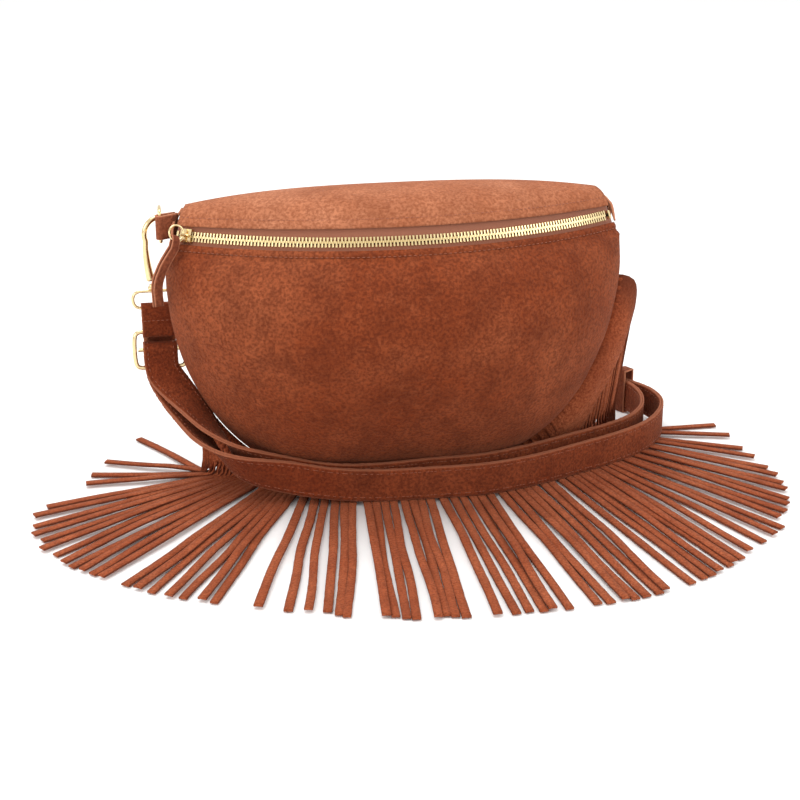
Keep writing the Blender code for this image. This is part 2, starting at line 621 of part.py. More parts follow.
def fringe():
    """Fringe: one suede band sewn into the side seam and cut into strips that lie on the floor."""
    k = STRIPS
    pitch = (FRINGE_SPAN[1] - FRINGE_SPAN[0]) / k
    mids = [fringe_line(FRINGE_SPAN[0] + (i + 0.5) * pitch) for i in range(-1, k + 1)]
    mids = np.array(mids)
    steep = (0.97, 0.62, 0.60, 0.62, 0.70, 0.90, 0.93, 0.93)
    strips = []
    for i in range(1, k + 1):
        c = mids[i]
        tan = np.gradient(c, axis=0)
        tan /= np.linalg.norm(tan, axis=1, keepdims=True)
        w = mids[i + 1] - mids[i - 1]
        w[0] = w[0] * vec(1, 0, 1)
        w[c[:, 2] < FRINGE_T / 2 + 1e-6, 2] = 0
        w = w - tan * np.sum(w * tan, 1, keepdims=True)
        w[c[:, 2] < FRINGE_T / 2 + 1e-6, 2] = 0
        pitch_here = np.linalg.norm(w, axis=1, keepdims=True) / 2
        share = np.array(steep if c[0, 2] > 0.0136 else (0.95,) * 8)[:, None]
        w *= np.minimum(STRIP_W, share * pitch_here) / 4 / pitch_here
        strips.append((c - w, c + w))
    grid = np.array([p for s in strips for p in s])
    m = grid.shape[1]
    nrm = np.cross(np.gradient(grid, axis=0), np.gradient(grid, axis=1))
    for i in range(k):
        pair = np.cross(grid[2 * i + 1] - grid[2 * i], np.gradient(grid[2 * i], axis=0))
        nrm[2 * i] = nrm[2 * i + 1] = pair
    nrm /= np.linalg.norm(nrm, axis=2, keepdims=True)
    nrm[grid[:, :, 2] < FRINGE_T / 2 + 1e-6] = vec(0, 0, math.copysign(1, nrm[0, -1, 2]))
    top = (grid + nrm * FRINGE_T / 2).reshape(-1, 3)
    low = (grid - nrm * FRINGE_T / 2).reshape(-1, 3)
    verts = np.concatenate([top, low])
    n = len(top)
    faces = []

    def quad(a, b, c, d):
        faces.append((a, b, c, d))
    for i in range(k):
        a0, b0 = (2 * i) * m, (2 * i + 1) * m
        for j in range(m - 1):
            quad(a0 + j, b0 + j, b0 + j + 1, a0 + j + 1)
            quad(n + a0 + j + 1, n + b0 + j + 1, n + b0 + j, n + a0 + j)
            if j > 0 or i == 0:
                quad(a0 + j + 1, n + a0 + j + 1, n + a0 + j, a0 + j)
            if j > 0 or i == k - 1:
                quad(b0 + j, n + b0 + j, n + b0 + j + 1, b0 + j + 1)
        quad(a0 + m - 1, b0 + m - 1, n + b0 + m - 1, n + a0 + m - 1)
        quad(b0, a0, n + a0, n + b0)
        if i < k - 1:
            c0 = (2 * i + 2) * m
            quad(b0, c0, c0 + 1, b0 + 1)
            quad(n + b0 + 1, n + c0 + 1, n + c0, n + b0)
            quad(c0, b0, n + b0, n + c0)
            quad(b0 + 1, c0 + 1, n + c0 + 1, n + b0 + 1)
    add("fringe", verts, faces, "suede", smooth=False)


COL = collection()
SEAM = seam_curve()
panels()
lining()
zipper()
pull(*slider())
fringe()
corner_patch("left_corner_patch", -1)
corner_patch("right_corner_patch", 1)
corner_tab("left_corner_tab", (-0.1540, 0.0150, 0.1880), (-0.1572, 0.0130, 0.1880), 0.015)
corner_tab("right_corner_tab", (0.1515, 0.0240, 0.1760), (0.1530, 0.0350, 0.1760), 0.015)
d_ring("left_d_ring", (-0.1572, 0.0130, 0.1880), (0.02, 1, 0), 0.0112, 0.0230)
d_ring("right_d_ring", (0.1530, 0.0350, 0.1760), (-0.30, 1, 0), 0.0112, 0.0210)
swivel_hook("left", (-0.1655, 0.0290, 0.1420), math.radians(12))
swivel_hook("right", (0.1560, 0.0500, 0.1300), math.radians(180))
strap_ring("left", RING_L, (1, 0, 0))
strap_ring("right", RING_R, (0, 1, 0))
link_tab("left_link_tab", (RING_L[0], RING_L[1], RING_L[2] - 0.0058),
         (RING_L[0], BUCKLE[1] + 0.0011, BUCKLE[2] + 0.0125), 0.0026, 0.0030, (1, 0, 0))
buckle()
strap()
keeper()
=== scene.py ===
import math
import bmesh
import bpy
import numpy as np
from mathutils import Matrix, Vector, noise


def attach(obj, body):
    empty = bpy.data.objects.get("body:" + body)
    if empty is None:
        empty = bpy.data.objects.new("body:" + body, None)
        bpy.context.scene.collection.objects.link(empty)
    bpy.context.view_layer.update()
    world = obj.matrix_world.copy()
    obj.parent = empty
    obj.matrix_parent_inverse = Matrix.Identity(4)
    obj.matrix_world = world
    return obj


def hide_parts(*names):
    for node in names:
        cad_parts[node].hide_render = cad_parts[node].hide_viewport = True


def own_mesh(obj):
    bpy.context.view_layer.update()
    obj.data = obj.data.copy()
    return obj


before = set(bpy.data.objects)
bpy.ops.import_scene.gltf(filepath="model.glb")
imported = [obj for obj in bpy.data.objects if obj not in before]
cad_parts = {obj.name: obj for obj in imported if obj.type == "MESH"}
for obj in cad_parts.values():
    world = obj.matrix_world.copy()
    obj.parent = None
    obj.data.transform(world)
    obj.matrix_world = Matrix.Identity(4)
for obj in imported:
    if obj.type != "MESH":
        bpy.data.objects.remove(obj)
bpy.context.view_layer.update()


# Camera, soft studio light and pale floor
# A camera a little to the left and above, a wide soft light overhead and a weak one at each side.
# half_view is half the width that the camera takes in at a distance of one.
eye, aim_point = Vector((-0.1852, -1.0501, 0.4908)), Vector((0, 0, 0.06))
half_view = 0.240674
camera = bpy.data.objects.new("camera", bpy.data.cameras.new("camera"))
camera.data.angle = 2 * math.atan(half_view)
camera.location = eye
camera.rotation_euler = (aim_point - eye).to_track_quat("-Z", "Y").to_euler()
bpy.context.scene.collection.objects.link(camera)
bpy.context.scene.camera = camera


def soft_light(name, place, aim, size, power):
    lamp = bpy.data.lights.new(name, "AREA")
    lamp.shape, lamp.size, lamp.energy = "DISK", size, power
    ob = bpy.data.objects.new(name, lamp)
    ob.location = place
    ob.rotation_euler = (Vector(aim) - Vector(place)).to_track_quat("-Z", "Y").to_euler()
    bpy.context.scene.collection.objects.link(ob)


soft_light("overhead", (-0.35, 0.10, 1.70), (0, 0, 0.05), 1.3, 15)
soft_light("left_fill", (-1.4, -0.9, 0.7), (0, 0, 0.1), 0.9, 7)
soft_light("right_fill", (1.4, -0.6, 0.8), (0, 0, 0.1), 0.9, 5)

world = bpy.data.worlds.new("studio")
world.use_nodes = True
world.node_tree.nodes["Background"].inputs["Color"].default_value = (1, 1, 1, 1)
world.node_tree.nodes["Background"].inputs["Strength"].default_value = 1.0
bpy.context.scene.world = world
bpy.context.scene.view_settings.view_transform = "Standard"

floor_radius, floor_level = 6.0, -0.0010
bm = bmesh.new()
bmesh.ops.create_circle(bm, cap_ends=True, segments=64, radius=floor_radius)
bmesh.ops.translate(bm, verts=bm.verts, vec=(0, 0, floor_level))
floor = bpy.data.objects.new("floor", bpy.data.meshes.new("floor"))
bm.to_mesh(floor.data)
bm.free()
bpy.context.scene.collection.objects.link(floor)
paper = bpy.data.materials.new("white_paper")
paper.use_nodes = True
paper.node_tree.nodes["Principled BSDF"].inputs["Base Color"].default_value = (0.93, 0.93, 0.92, 1)
paper.node_tree.nodes["Principled BSDF"].inputs["Roughness"].default_value = 0.9
floor.data.materials.append(paper)


# Front, back and top panels
# Three pieces of soft napped suede, each a smooth sagging skin. The front and the top are turned
# under along the zip and topstitched there, and front and back are sewn together round the D.
def bring(row, share):
    """Point at a share of the length of a row of points."""
    run = np.concatenate([[0], np.cumsum(np.linalg.norm(np.diff(row, axis=0), axis=1))])
    return np.array([np.interp(share * run[-1], run, row[:, k]) for k in range(3)])


def flowing(points, per=4):
    """Smooth run of points through the given ones."""
    p = np.asarray(points, float)
    q = np.vstack([2 * p[0] - p[1], p, 2 * p[-1] - p[-2]])
    run = []
    for a, b, c, d in zip(q, q[1:], q[2:], q[3:]):
        for t in np.arange(per) / per:
            run.append(0.5 * (2 * b + (c - a) * t + (2 * a - 5 * b + 4 * c - d) * t ** 2
                              + (3 * b - a - 3 * c + d) * t ** 3))
    return np.array(run + [p[-1]])


def direction(v):
    return np.asarray(v, float) / np.linalg.norm(v)


zip_middle, zip_corner = np.array([0, -0.040, 0.186]), np.array([0, 0.012, 0.1825])
zip_half, zip_sag = 0.1500, np.linalg.norm(zip_corner - zip_middle)
zip_radius = (zip_half ** 2 + zip_sag ** 2) / (2 * zip_sag)
zip_inward = direction(zip_corner - zip_middle)
zip_centre = zip_middle + zip_radius * zip_inward
zip_up = np.cross([1, 0, 0], zip_inward)
zip_angle = math.asin(zip_half / zip_radius)
tape_tilt = math.radians(25)

half_seam = [(0, 0.012, 0.0040), (0.030, 0.012, 0.0040), (0.056, 0.012, 0.0060),
             (0.081, 0.012, 0.0140), (0.105, 0.012, 0.0300), (0.126, 0.012, 0.0540),
             (0.142, 0.012, 0.0840), (0.151, 0.012, 0.1140), (0.1545, 0.012, 0.1430),
             (0.1540, 0.012, 0.1630), (0.1515, 0.012, 0.1780)]
side_seam = flowing([(-x, y, z) for x, y, z in half_seam[:0:-1]] + half_seam, 6)


def on_zip(angle, rise=0.0, proud=0.0):
    """Point by the zip: along its arc, up the slope of its tape, and proud of the tape's face."""
    inward = zip_inward * math.cos(angle) - np.array([1, 0, 0]) * math.sin(angle)
    slope = inward * math.sin(tape_tilt) + zip_up * math.cos(tape_tilt)
    out = -inward * math.cos(tape_tilt) + zip_up * math.sin(tape_tilt)
    return zip_centre - zip_radius * inward + slope * rise + out * proud, slope, out


def hanging(p0, p1, p2, p3, t):
    return (1 - t) ** 3 * p0 + 3 * (1 - t) ** 2 * t * p1 + 3 * (1 - t) * t * t * p2 + t ** 3 * p3


def seam_away(u):
    """Direction away from the bag, square to the seam."""
    s = (u + 1) / 2
    t = direction(bring(side_seam, min(s + 0.01, 1)) - bring(side_seam, max(s - 0.01, 0)))
    return np.array([t[2], 0, -t[0]])


def front_line(u, t):
    """Front panel: t runs from the turned edge below the zip down to the seam."""
    top, slope, out = on_zip(u * zip_angle, -0.0060, 0.0016)
    bend = top - slope * 0.0075
    if t < 0.12:
        return top + (bend - top) * t / 0.12
    end = bring(side_seam, (u + 1) / 2) + np.array([0, -0.0012, 0])
    size = np.linalg.norm(end - bend)
    lean = direction(-slope + 0.30 * out + np.array([0.55 * u * abs(u), 0, 0]))
    side = direction(np.array([0, 1, 0]) + 0.05 * seam_away(u))
    return hanging(bend, bend + lean * 0.42 * size, end - side * (0.17 + 0.12 * abs(u)) * size,
                   end, (t - 0.12) / 0.88)


def ridge(u):
    return np.array([0.144 * u, 0.030 - 0.006 * u * u, 0.2060 - 0.0080 * abs(u) ** 3])


def back_line(u, t):
    """Back panel: t runs from the ridge down to the seam."""
    start = bring(side_seam, (u + 1) / 2) + np.array([0, 0.0012, 0])
    end = ridge(u) + np.array([0, 0.0004, -0.0012])
    size = np.linalg.norm(end - start)
    return hanging(end, end + direction((0.25 * u, 0.22, -1)) * 0.42 * size,
                   start + np.array([0, 0.17 * size, 0]), start, t)


def top_line(u, t):
    """Top panel: t runs from the turned edge above the zip back to the ridge."""
    rim = 0.0060 + 0.0030 * (1 - u * u)
    low, slope, out = on_zip(u * zip_angle, rim, 0.0016)
    high = low + slope * 0.0060
    if t < 0.15:
        return low + (high - low) * t / 0.15
    start = ridge(u) + np.array([0, -0.0012, 0.0004])
    size = np.linalg.norm(high - start)
    return hanging(high, high + slope * 0.33 * size, start + direction((0, -1, 0.22)) * 0.33 * size,
                   start, (t - 0.15) / 0.85)


def suede_finish(name, base, pale, deep, nap=520.0, rim=None, patches=9.0):
    """Napped suede: patches where the nap lies either way, mottling, and a fine fibrous grain."""
    mat = bpy.data.materials.new(name)
    mat.use_nodes = True
    tree = mat.node_tree
    skin = tree.nodes["Principled BSDF"]
    skin.inputs["Roughness"].default_value = 0.92
    skin.inputs["Specular IOR Level"].default_value = 0.18
    skin.inputs["Sheen Weight"].default_value = 0.12
    skin.inputs["Sheen Roughness"].default_value = 0.45
    skin.inputs["Sheen Tint"].default_value = (1.0, 0.50, 0.30, 1)
    where = tree.nodes.new("ShaderNodeTexCoord")

    def grain(scale, detail, low, high):
        n = tree.nodes.new("ShaderNodeTexNoise")
        n.inputs["Scale"].default_value, n.inputs["Detail"].default_value = scale, detail
        n.inputs["Roughness"].default_value = 0.62
        tree.links.new(where.outputs["Object"], n.inputs["Vector"])
        r = tree.nodes.new("ShaderNodeMapRange")
        r.inputs["From Min"].default_value, r.inputs["From Max"].default_value = low, high
        tree.links.new(n.outputs["Fac"], r.inputs["Value"])
        return r.outputs["Result"]

    def tinted(colour, other, amount, strength, mode="MIX"):
        m = tree.nodes.new("ShaderNodeMix")
        m.data_type, m.blend_type = "RGBA", mode
        s = tree.nodes.new("ShaderNodeMath")
        s.operation = "MULTIPLY"
        s.inputs[1].default_value = strength
        tree.links.new(amount, s.inputs[0])
        tree.links.new(s.outputs[0], m.inputs["Factor"])
        if isinstance(colour, tuple):
            m.inputs["A"].default_value = (*colour, 1)
        else:
            tree.links.new(colour, m.inputs["A"])
        m.inputs["B"].default_value = (*other, 1)
        return m.outputs["Result"]

    broad = grain(patches, 3, 0.40, 0.66)
    middle = grain(46, 4, 0.42, 0.70)
    fine = grain(nap, 3, 0.40, 0.62)
    colour = tinted(base, pale, broad, 0.55)
    colour = tinted(colour, deep, middle, 0.42)
    colour = tinted(colour, pale, grain(150, 3, 0.50, 0.74), 0.22)
    colour = tinted(colour, deep, fine, 0.62)
    if rim:
        uv = tree.nodes.new("ShaderNodeUVMap")
        uv.uv_map = "cloth"
        split = tree.nodes.new("ShaderNodeSeparateXYZ")
        tree.links.new(uv.outputs["UV"], split.inputs[0])
        away = tree.nodes.new("ShaderNodeMath")
        away.operation = "PINGPONG"
        away.inputs[1].default_value = 0.5
        tree.links.new(split.outputs["X"], away.inputs[0])
        edge = tree.nodes.new("ShaderNodeMapRange")
        edge.inputs["From Min"].default_value, edge.inputs["From Max"].default_value = rim[1], 0.0
        tree.links.new(away.outputs[0], edge.inputs["Value"])
        colour = tinted(colour, rim[0], edge.outputs["Result"], 0.85)
    tree.links.new(colour, skin.inputs["Base Color"])
    bump = tree.nodes.new("ShaderNodeBump")
    bump.inputs["Strength"].default_value = 0.55
    bump.inputs["Distance"].default_value = 0.0007
    tree.links.new(fine, bump.inputs["Height"])
    swell = tree.nodes.new("ShaderNodeBump")
    swell.inputs["Strength"].default_value = 0.30
    swell.inputs["Distance"].default_value = 0.0012
    tree.links.new(middle, swell.inputs["Height"])
    tree.links.new(bump.outputs["Normal"], swell.inputs["Normal"])
    tree.links.new(swell.outputs["Normal"], skin.inputs["Normal"])
    return mat


def laid_skin(name, across, along, place, thick, finish, body="bag", node=None):
    """Sheet of suede: a grid whose points are set by place(u, v), given its thickness."""
    bm = bmesh.new()
    bm.loops.layers.uv.new("cloth")
    bmesh.ops.create_grid(bm, x_segments=across, y_segments=along, size=0.5, calc_uvs=True)
    for v in bm.verts:
        v.co = place(v.co.x + 0.5, v.co.y + 0.5)
    bmesh.ops.recalc_face_normals(bm, faces=bm.faces)
    return piece(name, bm, finish, body, node, thick)


def piece(name, bm, finish, body="bag", node=None, thick=None, smooth=True):
    ob = bpy.data.objects.new(name, bpy.data.meshes.new(name))
    bm.to_mesh(ob.data)
    bm.free()
    for face in ob.data.polygons:
        face.use_smooth = smooth
    ob.data.materials.append(finish)
    bpy.context.scene.collection.objects.link(ob)
    if thick:
        wall = ob.modifiers.new("thickness", "SOLIDIFY")
        wall.thickness, wall.offset = thick, 0.0
    for n in node or ():
        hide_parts(n)
    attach(ob, body)
    return ob


def sag(p, size):
    """Slow swells and fine creases of soft suede, as a height."""
    v = Vector(p)
    swell = noise.noise(v * 17) * 0.6 + noise.noise(v * 41 + Vector((3, 1, 7))) * 0.4
    return swell * size


body_suede = suede_finish("body_suede", (0.235, 0.045, 0.0115), (0.420, 0.118, 0.046),
                          (0.078, 0.0115, 0.0024))
# The top panel is the same suede as the body, coloured paler: painted light from above falling on the
# top.
top_suede_painted_light = suede_finish("top_suede_painted_light", (0.400, 0.126, 0.054), (0.640, 0.275, 0.150),
                         (0.200, 0.050, 0.018))


def pressed(line, u, t, hem, stitch, size):
    """A point of a panel with its sag, its pressed hem and the furrow of its topstitching."""
    p = line(u, t)
    along = line(min(u + 0.004, 1), t) - line(max(u - 0.004, -1), t)
    down = line(u, min(t + 0.004, 1)) - line(u, max(t - 0.004, 0))
    n = direction(np.cross(along, down))
    n = n if n[1] * (1 if line is back_line else -1) > 0 or line is top_line and n[2] > 0 else -n
    lift = sag(p, size) * min(1, 6 * t, 6 * (1 - t))
    lift += 0.0005 * math.exp(-((t - hem) / (hem * 0.7)) ** 2) if hem else 0
    lift -= 0.0006 * math.exp(-((t - stitch) / 0.010) ** 2) if stitch else 0
    return Vector(p + n * lift)


# The skins stop a little short of the zip's ends, where the corner patches close the bag.
skin_span = 1.944


def front_cloth(u, v):
    t = 0.5 * (1 - v) + 0.5 * (1 - v) ** 2.2
    return pressed(front_line, (u - 0.5) * skin_span, t, 0.035, 0.070, 0.0013)


def top_cloth(u, v):
    return pressed(top_line, (u - 0.5) * skin_span, v, 0.06, 0.0, 0.0009)


def back_cloth(u, v):
    return pressed(back_line, (u - 0.5) * skin_span, v, 0.0, 0.0, 0.0012)


laid_skin("front_skin", 110, 90, front_cloth, 0.0016, body_suede,
          node=["front_panel"])
laid_skin("top_skin", 100, 34, top_cloth, 0.0016, top_suede_painted_light,
          node=["top_panel"])
laid_skin("back_skin", 90, 60, back_cloth, 0.0016, body_suede,
          node=["back_panel"])


# Lining
# A pocket of plain dark woven cloth that follows the panels a few millimetres inside them. It is
# sewn in below and above the zip and is open between them.
lining_cloth = suede_finish("lining_cloth", (0.10, 0.040, 0.026), (0.15, 0.07, 0.05),
                            (0.05, 0.018, 0.012), nap=1400.0)
lining_span, lining_gap = 1.80, 0.0055
front_end, back_end = 0.45, 0.85
bag_heart = (0.004, 0.115)


def pocket(u, v):
    """Place of the cloth: v runs down the front, up the back and forward under the top."""
    w = (u - 0.5) * lining_span
    if v < front_end:
        p = front_line(w, v / front_end)
    elif v < back_end:
        p = back_line(w, 1 - (v - front_end) / (back_end - front_end))
    else:
        p = top_line(w, 1 - (v - back_end) / (1 - back_end))
    heart = np.array([p[0] * 0.93, *bag_heart])
    return Vector(p + direction(heart - p) * lining_gap)


laid_skin("lining_pocket", 48, 60, pocket, 0.0006, lining_cloth, node=["lining"])


# Zip tapes and teeth
# Two suede-coloured woven tapes, each with a row of cast gold teeth clamped on its edge. The teeth
# are separate, and each row sits half a pitch on from the other so that they mesh.
def woven_finish(name, base, pale, pitch):
    mat = bpy.data.materials.new(name)
    mat.use_nodes = True
    tree = mat.node_tree
    skin = tree.nodes["Principled BSDF"]
    skin.inputs["Roughness"].default_value = 0.85
    skin.inputs["Sheen Weight"].default_value = 0.2
    uv = tree.nodes.new("ShaderNodeUVMap")
    uv.uv_map = "cloth"
    ribs = tree.nodes.new("ShaderNodeTexWave")
    ribs.inputs["Scale"].default_value = pitch
    ribs.inputs["Distortion"].default_value = 1.2
    tree.links.new(uv.outputs["UV"], ribs.inputs["Vector"])
    ramp = tree.nodes.new("ShaderNodeMix")
    ramp.data_type = "RGBA"
    ramp.inputs["A"].default_value, ramp.inputs["B"].default_value = (*base, 1), (*pale, 1)
    tree.links.new(ribs.outputs["Fac"], ramp.inputs["Factor"])
    tree.links.new(ramp.outputs["Result"], skin.inputs["Base Color"])
    bump = tree.nodes.new("ShaderNodeBump")
    bump.inputs["Strength"].default_value, bump.inputs["Distance"].default_value = 0.4, 0.0002
    tree.links.new(ribs.outputs["Fac"], bump.inputs["Height"])
    tree.links.new(bump.outputs["Normal"], skin.inputs["Normal"])
    return mat


def gold_finish(name, base, rough):
    """Pale gold plate over cast metal: faint brush marks, rubbed spots and soft reflections."""
    mat = bpy.data.materials.new(name)
    mat.use_nodes = True
    tree = mat.node_tree
    skin = tree.nodes["Principled BSDF"]
    skin.inputs["Metallic"].default_value = 1.0
    where = tree.nodes.new("ShaderNodeTexCoord")
    worn = tree.nodes.new("ShaderNodeTexNoise")
    worn.inputs["Scale"].default_value, worn.inputs["Detail"].default_value = 260, 4
    tree.links.new(where.outputs["Object"], worn.inputs["Vector"])
    tone = tree.nodes.new("ShaderNodeMix")
    tone.data_type = "RGBA"
    tone.inputs["A"].default_value = (*base, 1)
    tone.inputs["B"].default_value = (base[0] * 0.80, base[1] * 0.74, base[2] * 0.62, 1)
    tree.links.new(worn.outputs["Fac"], tone.inputs["Factor"])
    tree.links.new(tone.outputs["Result"], skin.inputs["Base Color"])
    dull = tree.nodes.new("ShaderNodeMapRange")
    dull.inputs["To Min"].default_value, dull.inputs["To Max"].default_value = rough * 0.6, rough * 1.5
    tree.links.new(worn.outputs["Fac"], dull.inputs["Value"])
    tree.links.new(dull.outputs["Result"], skin.inputs["Roughness"])
    bump = tree.nodes.new("ShaderNodeBump")
    bump.inputs["Strength"].default_value, bump.inputs["Distance"].default_value = 0.12, 0.0002
    tree.links.new(worn.outputs["Fac"], bump.inputs["Height"])
    tree.links.new(bump.outputs["Normal"], skin.inputs["Normal"])
    return mat


tape_cloth = woven_finish("tape_cloth", (0.22, 0.070, 0.034), (0.34, 0.125, 0.068), 140)
tooth_gold = gold_finish("tooth_gold", (0.93, 0.76, 0.44), 0.24)
tape_share, chain_share = 0.975, 0.938
teeth, tooth_size = 132, (0.00142, 0.0042, 0.0014)


def tape(side, wide):
    def place(u, v):
        a = (u - 0.5) * 2 * zip_angle * tape_share
        return Vector(on_zip(a, side * (0.0012 + v * (wide - 0.0012)))[0])
    return place


laid_skin("tape_lower", 120, 8, tape(-1, 0.0120), 0.0008, tape_cloth,
          node=["zip_tape_lower"])
laid_skin("tape_upper", 120, 8, tape(1, 0.0125), 0.0008, tape_cloth,
          node=["zip_tape_upper"])


def tooth_row(name, side, shift):
    """Teeth of one side: a block with a narrower nose that reaches past the middle of the chain."""
    bm = bmesh.new()
    step = 2 * zip_angle * chain_share / teeth
    for i in range(teeth):
        a = -zip_angle * chain_share + step * (i + shift)
        p, slope, out = on_zip(a, side * 0.0013, 0.0012)
        along = np.cross(out, slope)
        turn = Matrix((along, slope, out)).transposed().to_4x4()
        made = bmesh.ops.create_cube(bm, size=1.0)["verts"]
        bmesh.ops.scale(bm, verts=made, vec=tooth_size)
        nose = [v for v in made if v.co.y * side < 0]
        bmesh.ops.scale(bm, verts=nose, vec=(0.72, 1, 0.9))
        bmesh.ops.transform(bm, matrix=Matrix.Translation(Vector(p)) @ turn, verts=made)
    bmesh.ops.bevel(bm, geom=bm.edges[:], offset=0.00022, affect="EDGES", segments=1,
                    profile=0.5, material=-1)
    bmesh.ops.recalc_face_normals(bm, faces=bm.faces)
    piece(name, bm, tooth_gold, node=[name.replace("chain", "zip_teeth")],
          smooth=False)


tooth_row("chain_lower", -1, 0.25)
tooth_row("chain_upper", 1, 0.75)

for stop in ("zip_stop_left", "zip_stop_right"):
    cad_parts[stop].data.materials.clear()
    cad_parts[stop].data.materials.append(tooth_gold)


# Slider, pull ring and thong
# A cast gold slider with a raised crown over its channel, a wire ring through its bridge, and a
# narrow suede thong folded through the ring with both tails hanging.
bright_gold = gold_finish("bright_gold", (0.90, 0.72, 0.42), 0.15)
dark_suede = suede_finish("dark_suede", (0.20, 0.048, 0.020), (0.30, 0.090, 0.042),
                          (0.100, 0.022, 0.010), rim=((0.50, 0.19, 0.10), 0.16))
for metal in ("zip_slider", "pull_bridge"):
    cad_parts[metal].data.materials.clear()
    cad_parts[metal].data.materials.append(bright_gold)


def drawn_wire(name, path, gauge, finish, body, node, sides=12, closed=False):
    """Wire drawn along a path: a ring of points extruded from place to place."""
    p = np.asarray(path, float)
    n = len(p)
    gauges = np.full(n, gauge) if np.isscalar(gauge) else np.asarray(gauge)
    ahead = np.roll(p, -1, 0) - np.roll(p, 1, 0) if closed else np.gradient(p, axis=0)
    ahead /= np.linalg.norm(ahead, axis=1, keepdims=True)
    up = np.cross(ahead[0], ahead[n // 3])
    up = np.cross(ahead[0], (0.3, 0.5, 0.8)) if np.linalg.norm(up) < 0.05 else up
    bm = bmesh.new()
    ring = bmesh.ops.create_circle(bm, cap_ends=False, segments=sides, radius=1.0)["verts"]
    shape = [v.co.copy() for v in ring]
    for i in range(n):
        up = direction(up - ahead[i] * np.dot(up, ahead[i]))
        side = np.cross(ahead[i], up)
        if i:
            edges = [e for e in bm.edges if e.verts[0] in ring and e.verts[1] in ring]
            grown = bmesh.ops.extrude_edge_only(bm, edges=edges)["geom"]
            new = {v for v in grown if isinstance(v, bmesh.types.BMVert)}
            ring = [next(e.other_vert(v) for e in v.link_edges if e.other_vert(v) in new)
                    for v in ring]
        for v, c in zip(ring, shape):
            v.co = Vector(p[i] + gauges[i] * (c.x * up + c.y * side))
    if closed:
        ends = [e for e in bm.edges if e.is_boundary]
        bmesh.ops.bridge_loops(bm, edges=ends)
    else:
        bmesh.ops.holes_fill(bm, edges=[e for e in bm.edges if e.is_boundary], sides=sides)
    bmesh.ops.recalc_face_normals(bm, faces=bm.faces)
    return piece(name, bm, finish, body, node)


closed_at = -zip_angle * 0.920
slide, slope, proud = on_zip(closed_at)
along_zip = np.cross(proud, slope)
along_zip = along_zip if along_zip[0] > 0 else -along_zip
reach = direction(0.8 * proud - 0.6 * along_zip)
ring_radius = 0.0049
ring_mid = slide + proud * 0.0064 + reach * ring_radius
turns = np.arange(40) * math.pi / 20
drawn_wire("pull_wire_ring", [ring_mid + ring_radius * (reach * math.cos(t) + slope * math.sin(t))
                              for t in turns], 0.0007, bright_gold, "pull",
           ["pull_ring"], sides=10, closed=True)


def folded_strip(name, path, faces, width, thick, finish, body, node, steps=4, fuzz=0.0,
                 closed=False):
    """Flat strip of suede that follows path, with faces[i] its width direction at each point."""
    p, w = np.asarray(path, float), np.asarray(faces, float)
    widths = np.full(len(p), width) if np.isscalar(width) else np.asarray(width)
    ahead = np.roll(p, -1, 0) - np.roll(p, 1, 0) if closed else np.gradient(p, axis=0)
    ahead /= np.linalg.norm(ahead, axis=1, keepdims=True)
    w = w - ahead * np.sum(w * ahead, 1, keepdims=True)
    w /= np.linalg.norm(w, axis=1, keepdims=True)
    count = len(p) - (0 if closed else 1)
    bm = bmesh.new()
    bm.loops.layers.uv.new("cloth")
    bmesh.ops.create_grid(bm, x_segments=steps, y_segments=count, size=0.5, calc_uvs=True)
    for v in bm.verts:
        i, x = round((v.co.y + 0.5) * count) % len(p), v.co.x
        q = p[i] + w[i] * widths[i] * x
        if fuzz and abs(x) > 0.49:
            q = q + w[i] * math.copysign(fuzz, x) * noise.noise(Vector(p[i]) * 900)
        v.co = Vector(q)
    if closed:
        bmesh.ops.remove_doubles(bm, verts=bm.verts, dist=1e-6)
    bmesh.ops.recalc_face_normals(bm, faces=bm.faces)
    return piece(name, bm, finish, body, node, thick)


low = ring_mid - slope * ring_radius
facing = direction(reach * np.array([1, 1, 0]))
behind = np.array([facing[1], -facing[0], 0])
fold = [low + 0.0028 * (math.cos(t) * behind + np.array([0, 0, math.sin(t)]))
        for t in np.linspace(-0.1, math.pi + 0.1, 12)]
tip, bend = np.array([-0.1615, -0.0010, 0.1390]), np.array([-0.1575, -0.0055, 0.1660])
neck = low + np.array([-0.0012, -0.0006, -0.0050])
back_tail = flowing([tip + behind * 0.0034 + (0, 0, -0.002), tip + behind * 0.0030 + (0, 0, 0.014),
                     bend + behind * 0.0026, neck + behind * 0.0026], 6)
front_tail = flowing([neck - behind * 0.0026, bend - behind * 0.0022,
                      tip - behind * 0.0022 + (0, 0, 0.014), tip - behind * 0.0026], 6)
thong = np.vstack([back_tail, fold, front_tail])
spread = 0.0041 + 0.0019 * np.clip(2 * np.abs(np.linspace(-1, 1, len(thong))), 0, 1)
thong_faces = [facing] * len(back_tail) + [reach] * len(fold) + [facing] * len(front_tail)
thong_piece = folded_strip("pull_thong_suede", thong, thong_faces, spread, 0.0012, dark_suede,
                           "pull", ["pull_thong"], fuzz=0.00015)
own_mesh(thong_piece)


# Corner ears
# At each end of the zip a small three-cornered suede patch closes the bag, and a strip of suede
# folded round the upright bar of a D-ring is sewn in beside it.
ear_suede = suede_finish("ear_suede", (0.25, 0.062, 0.026), (0.38, 0.125, 0.06),
                         (0.13, 0.030, 0.012), rim=((0.55, 0.22, 0.12), 0.05))


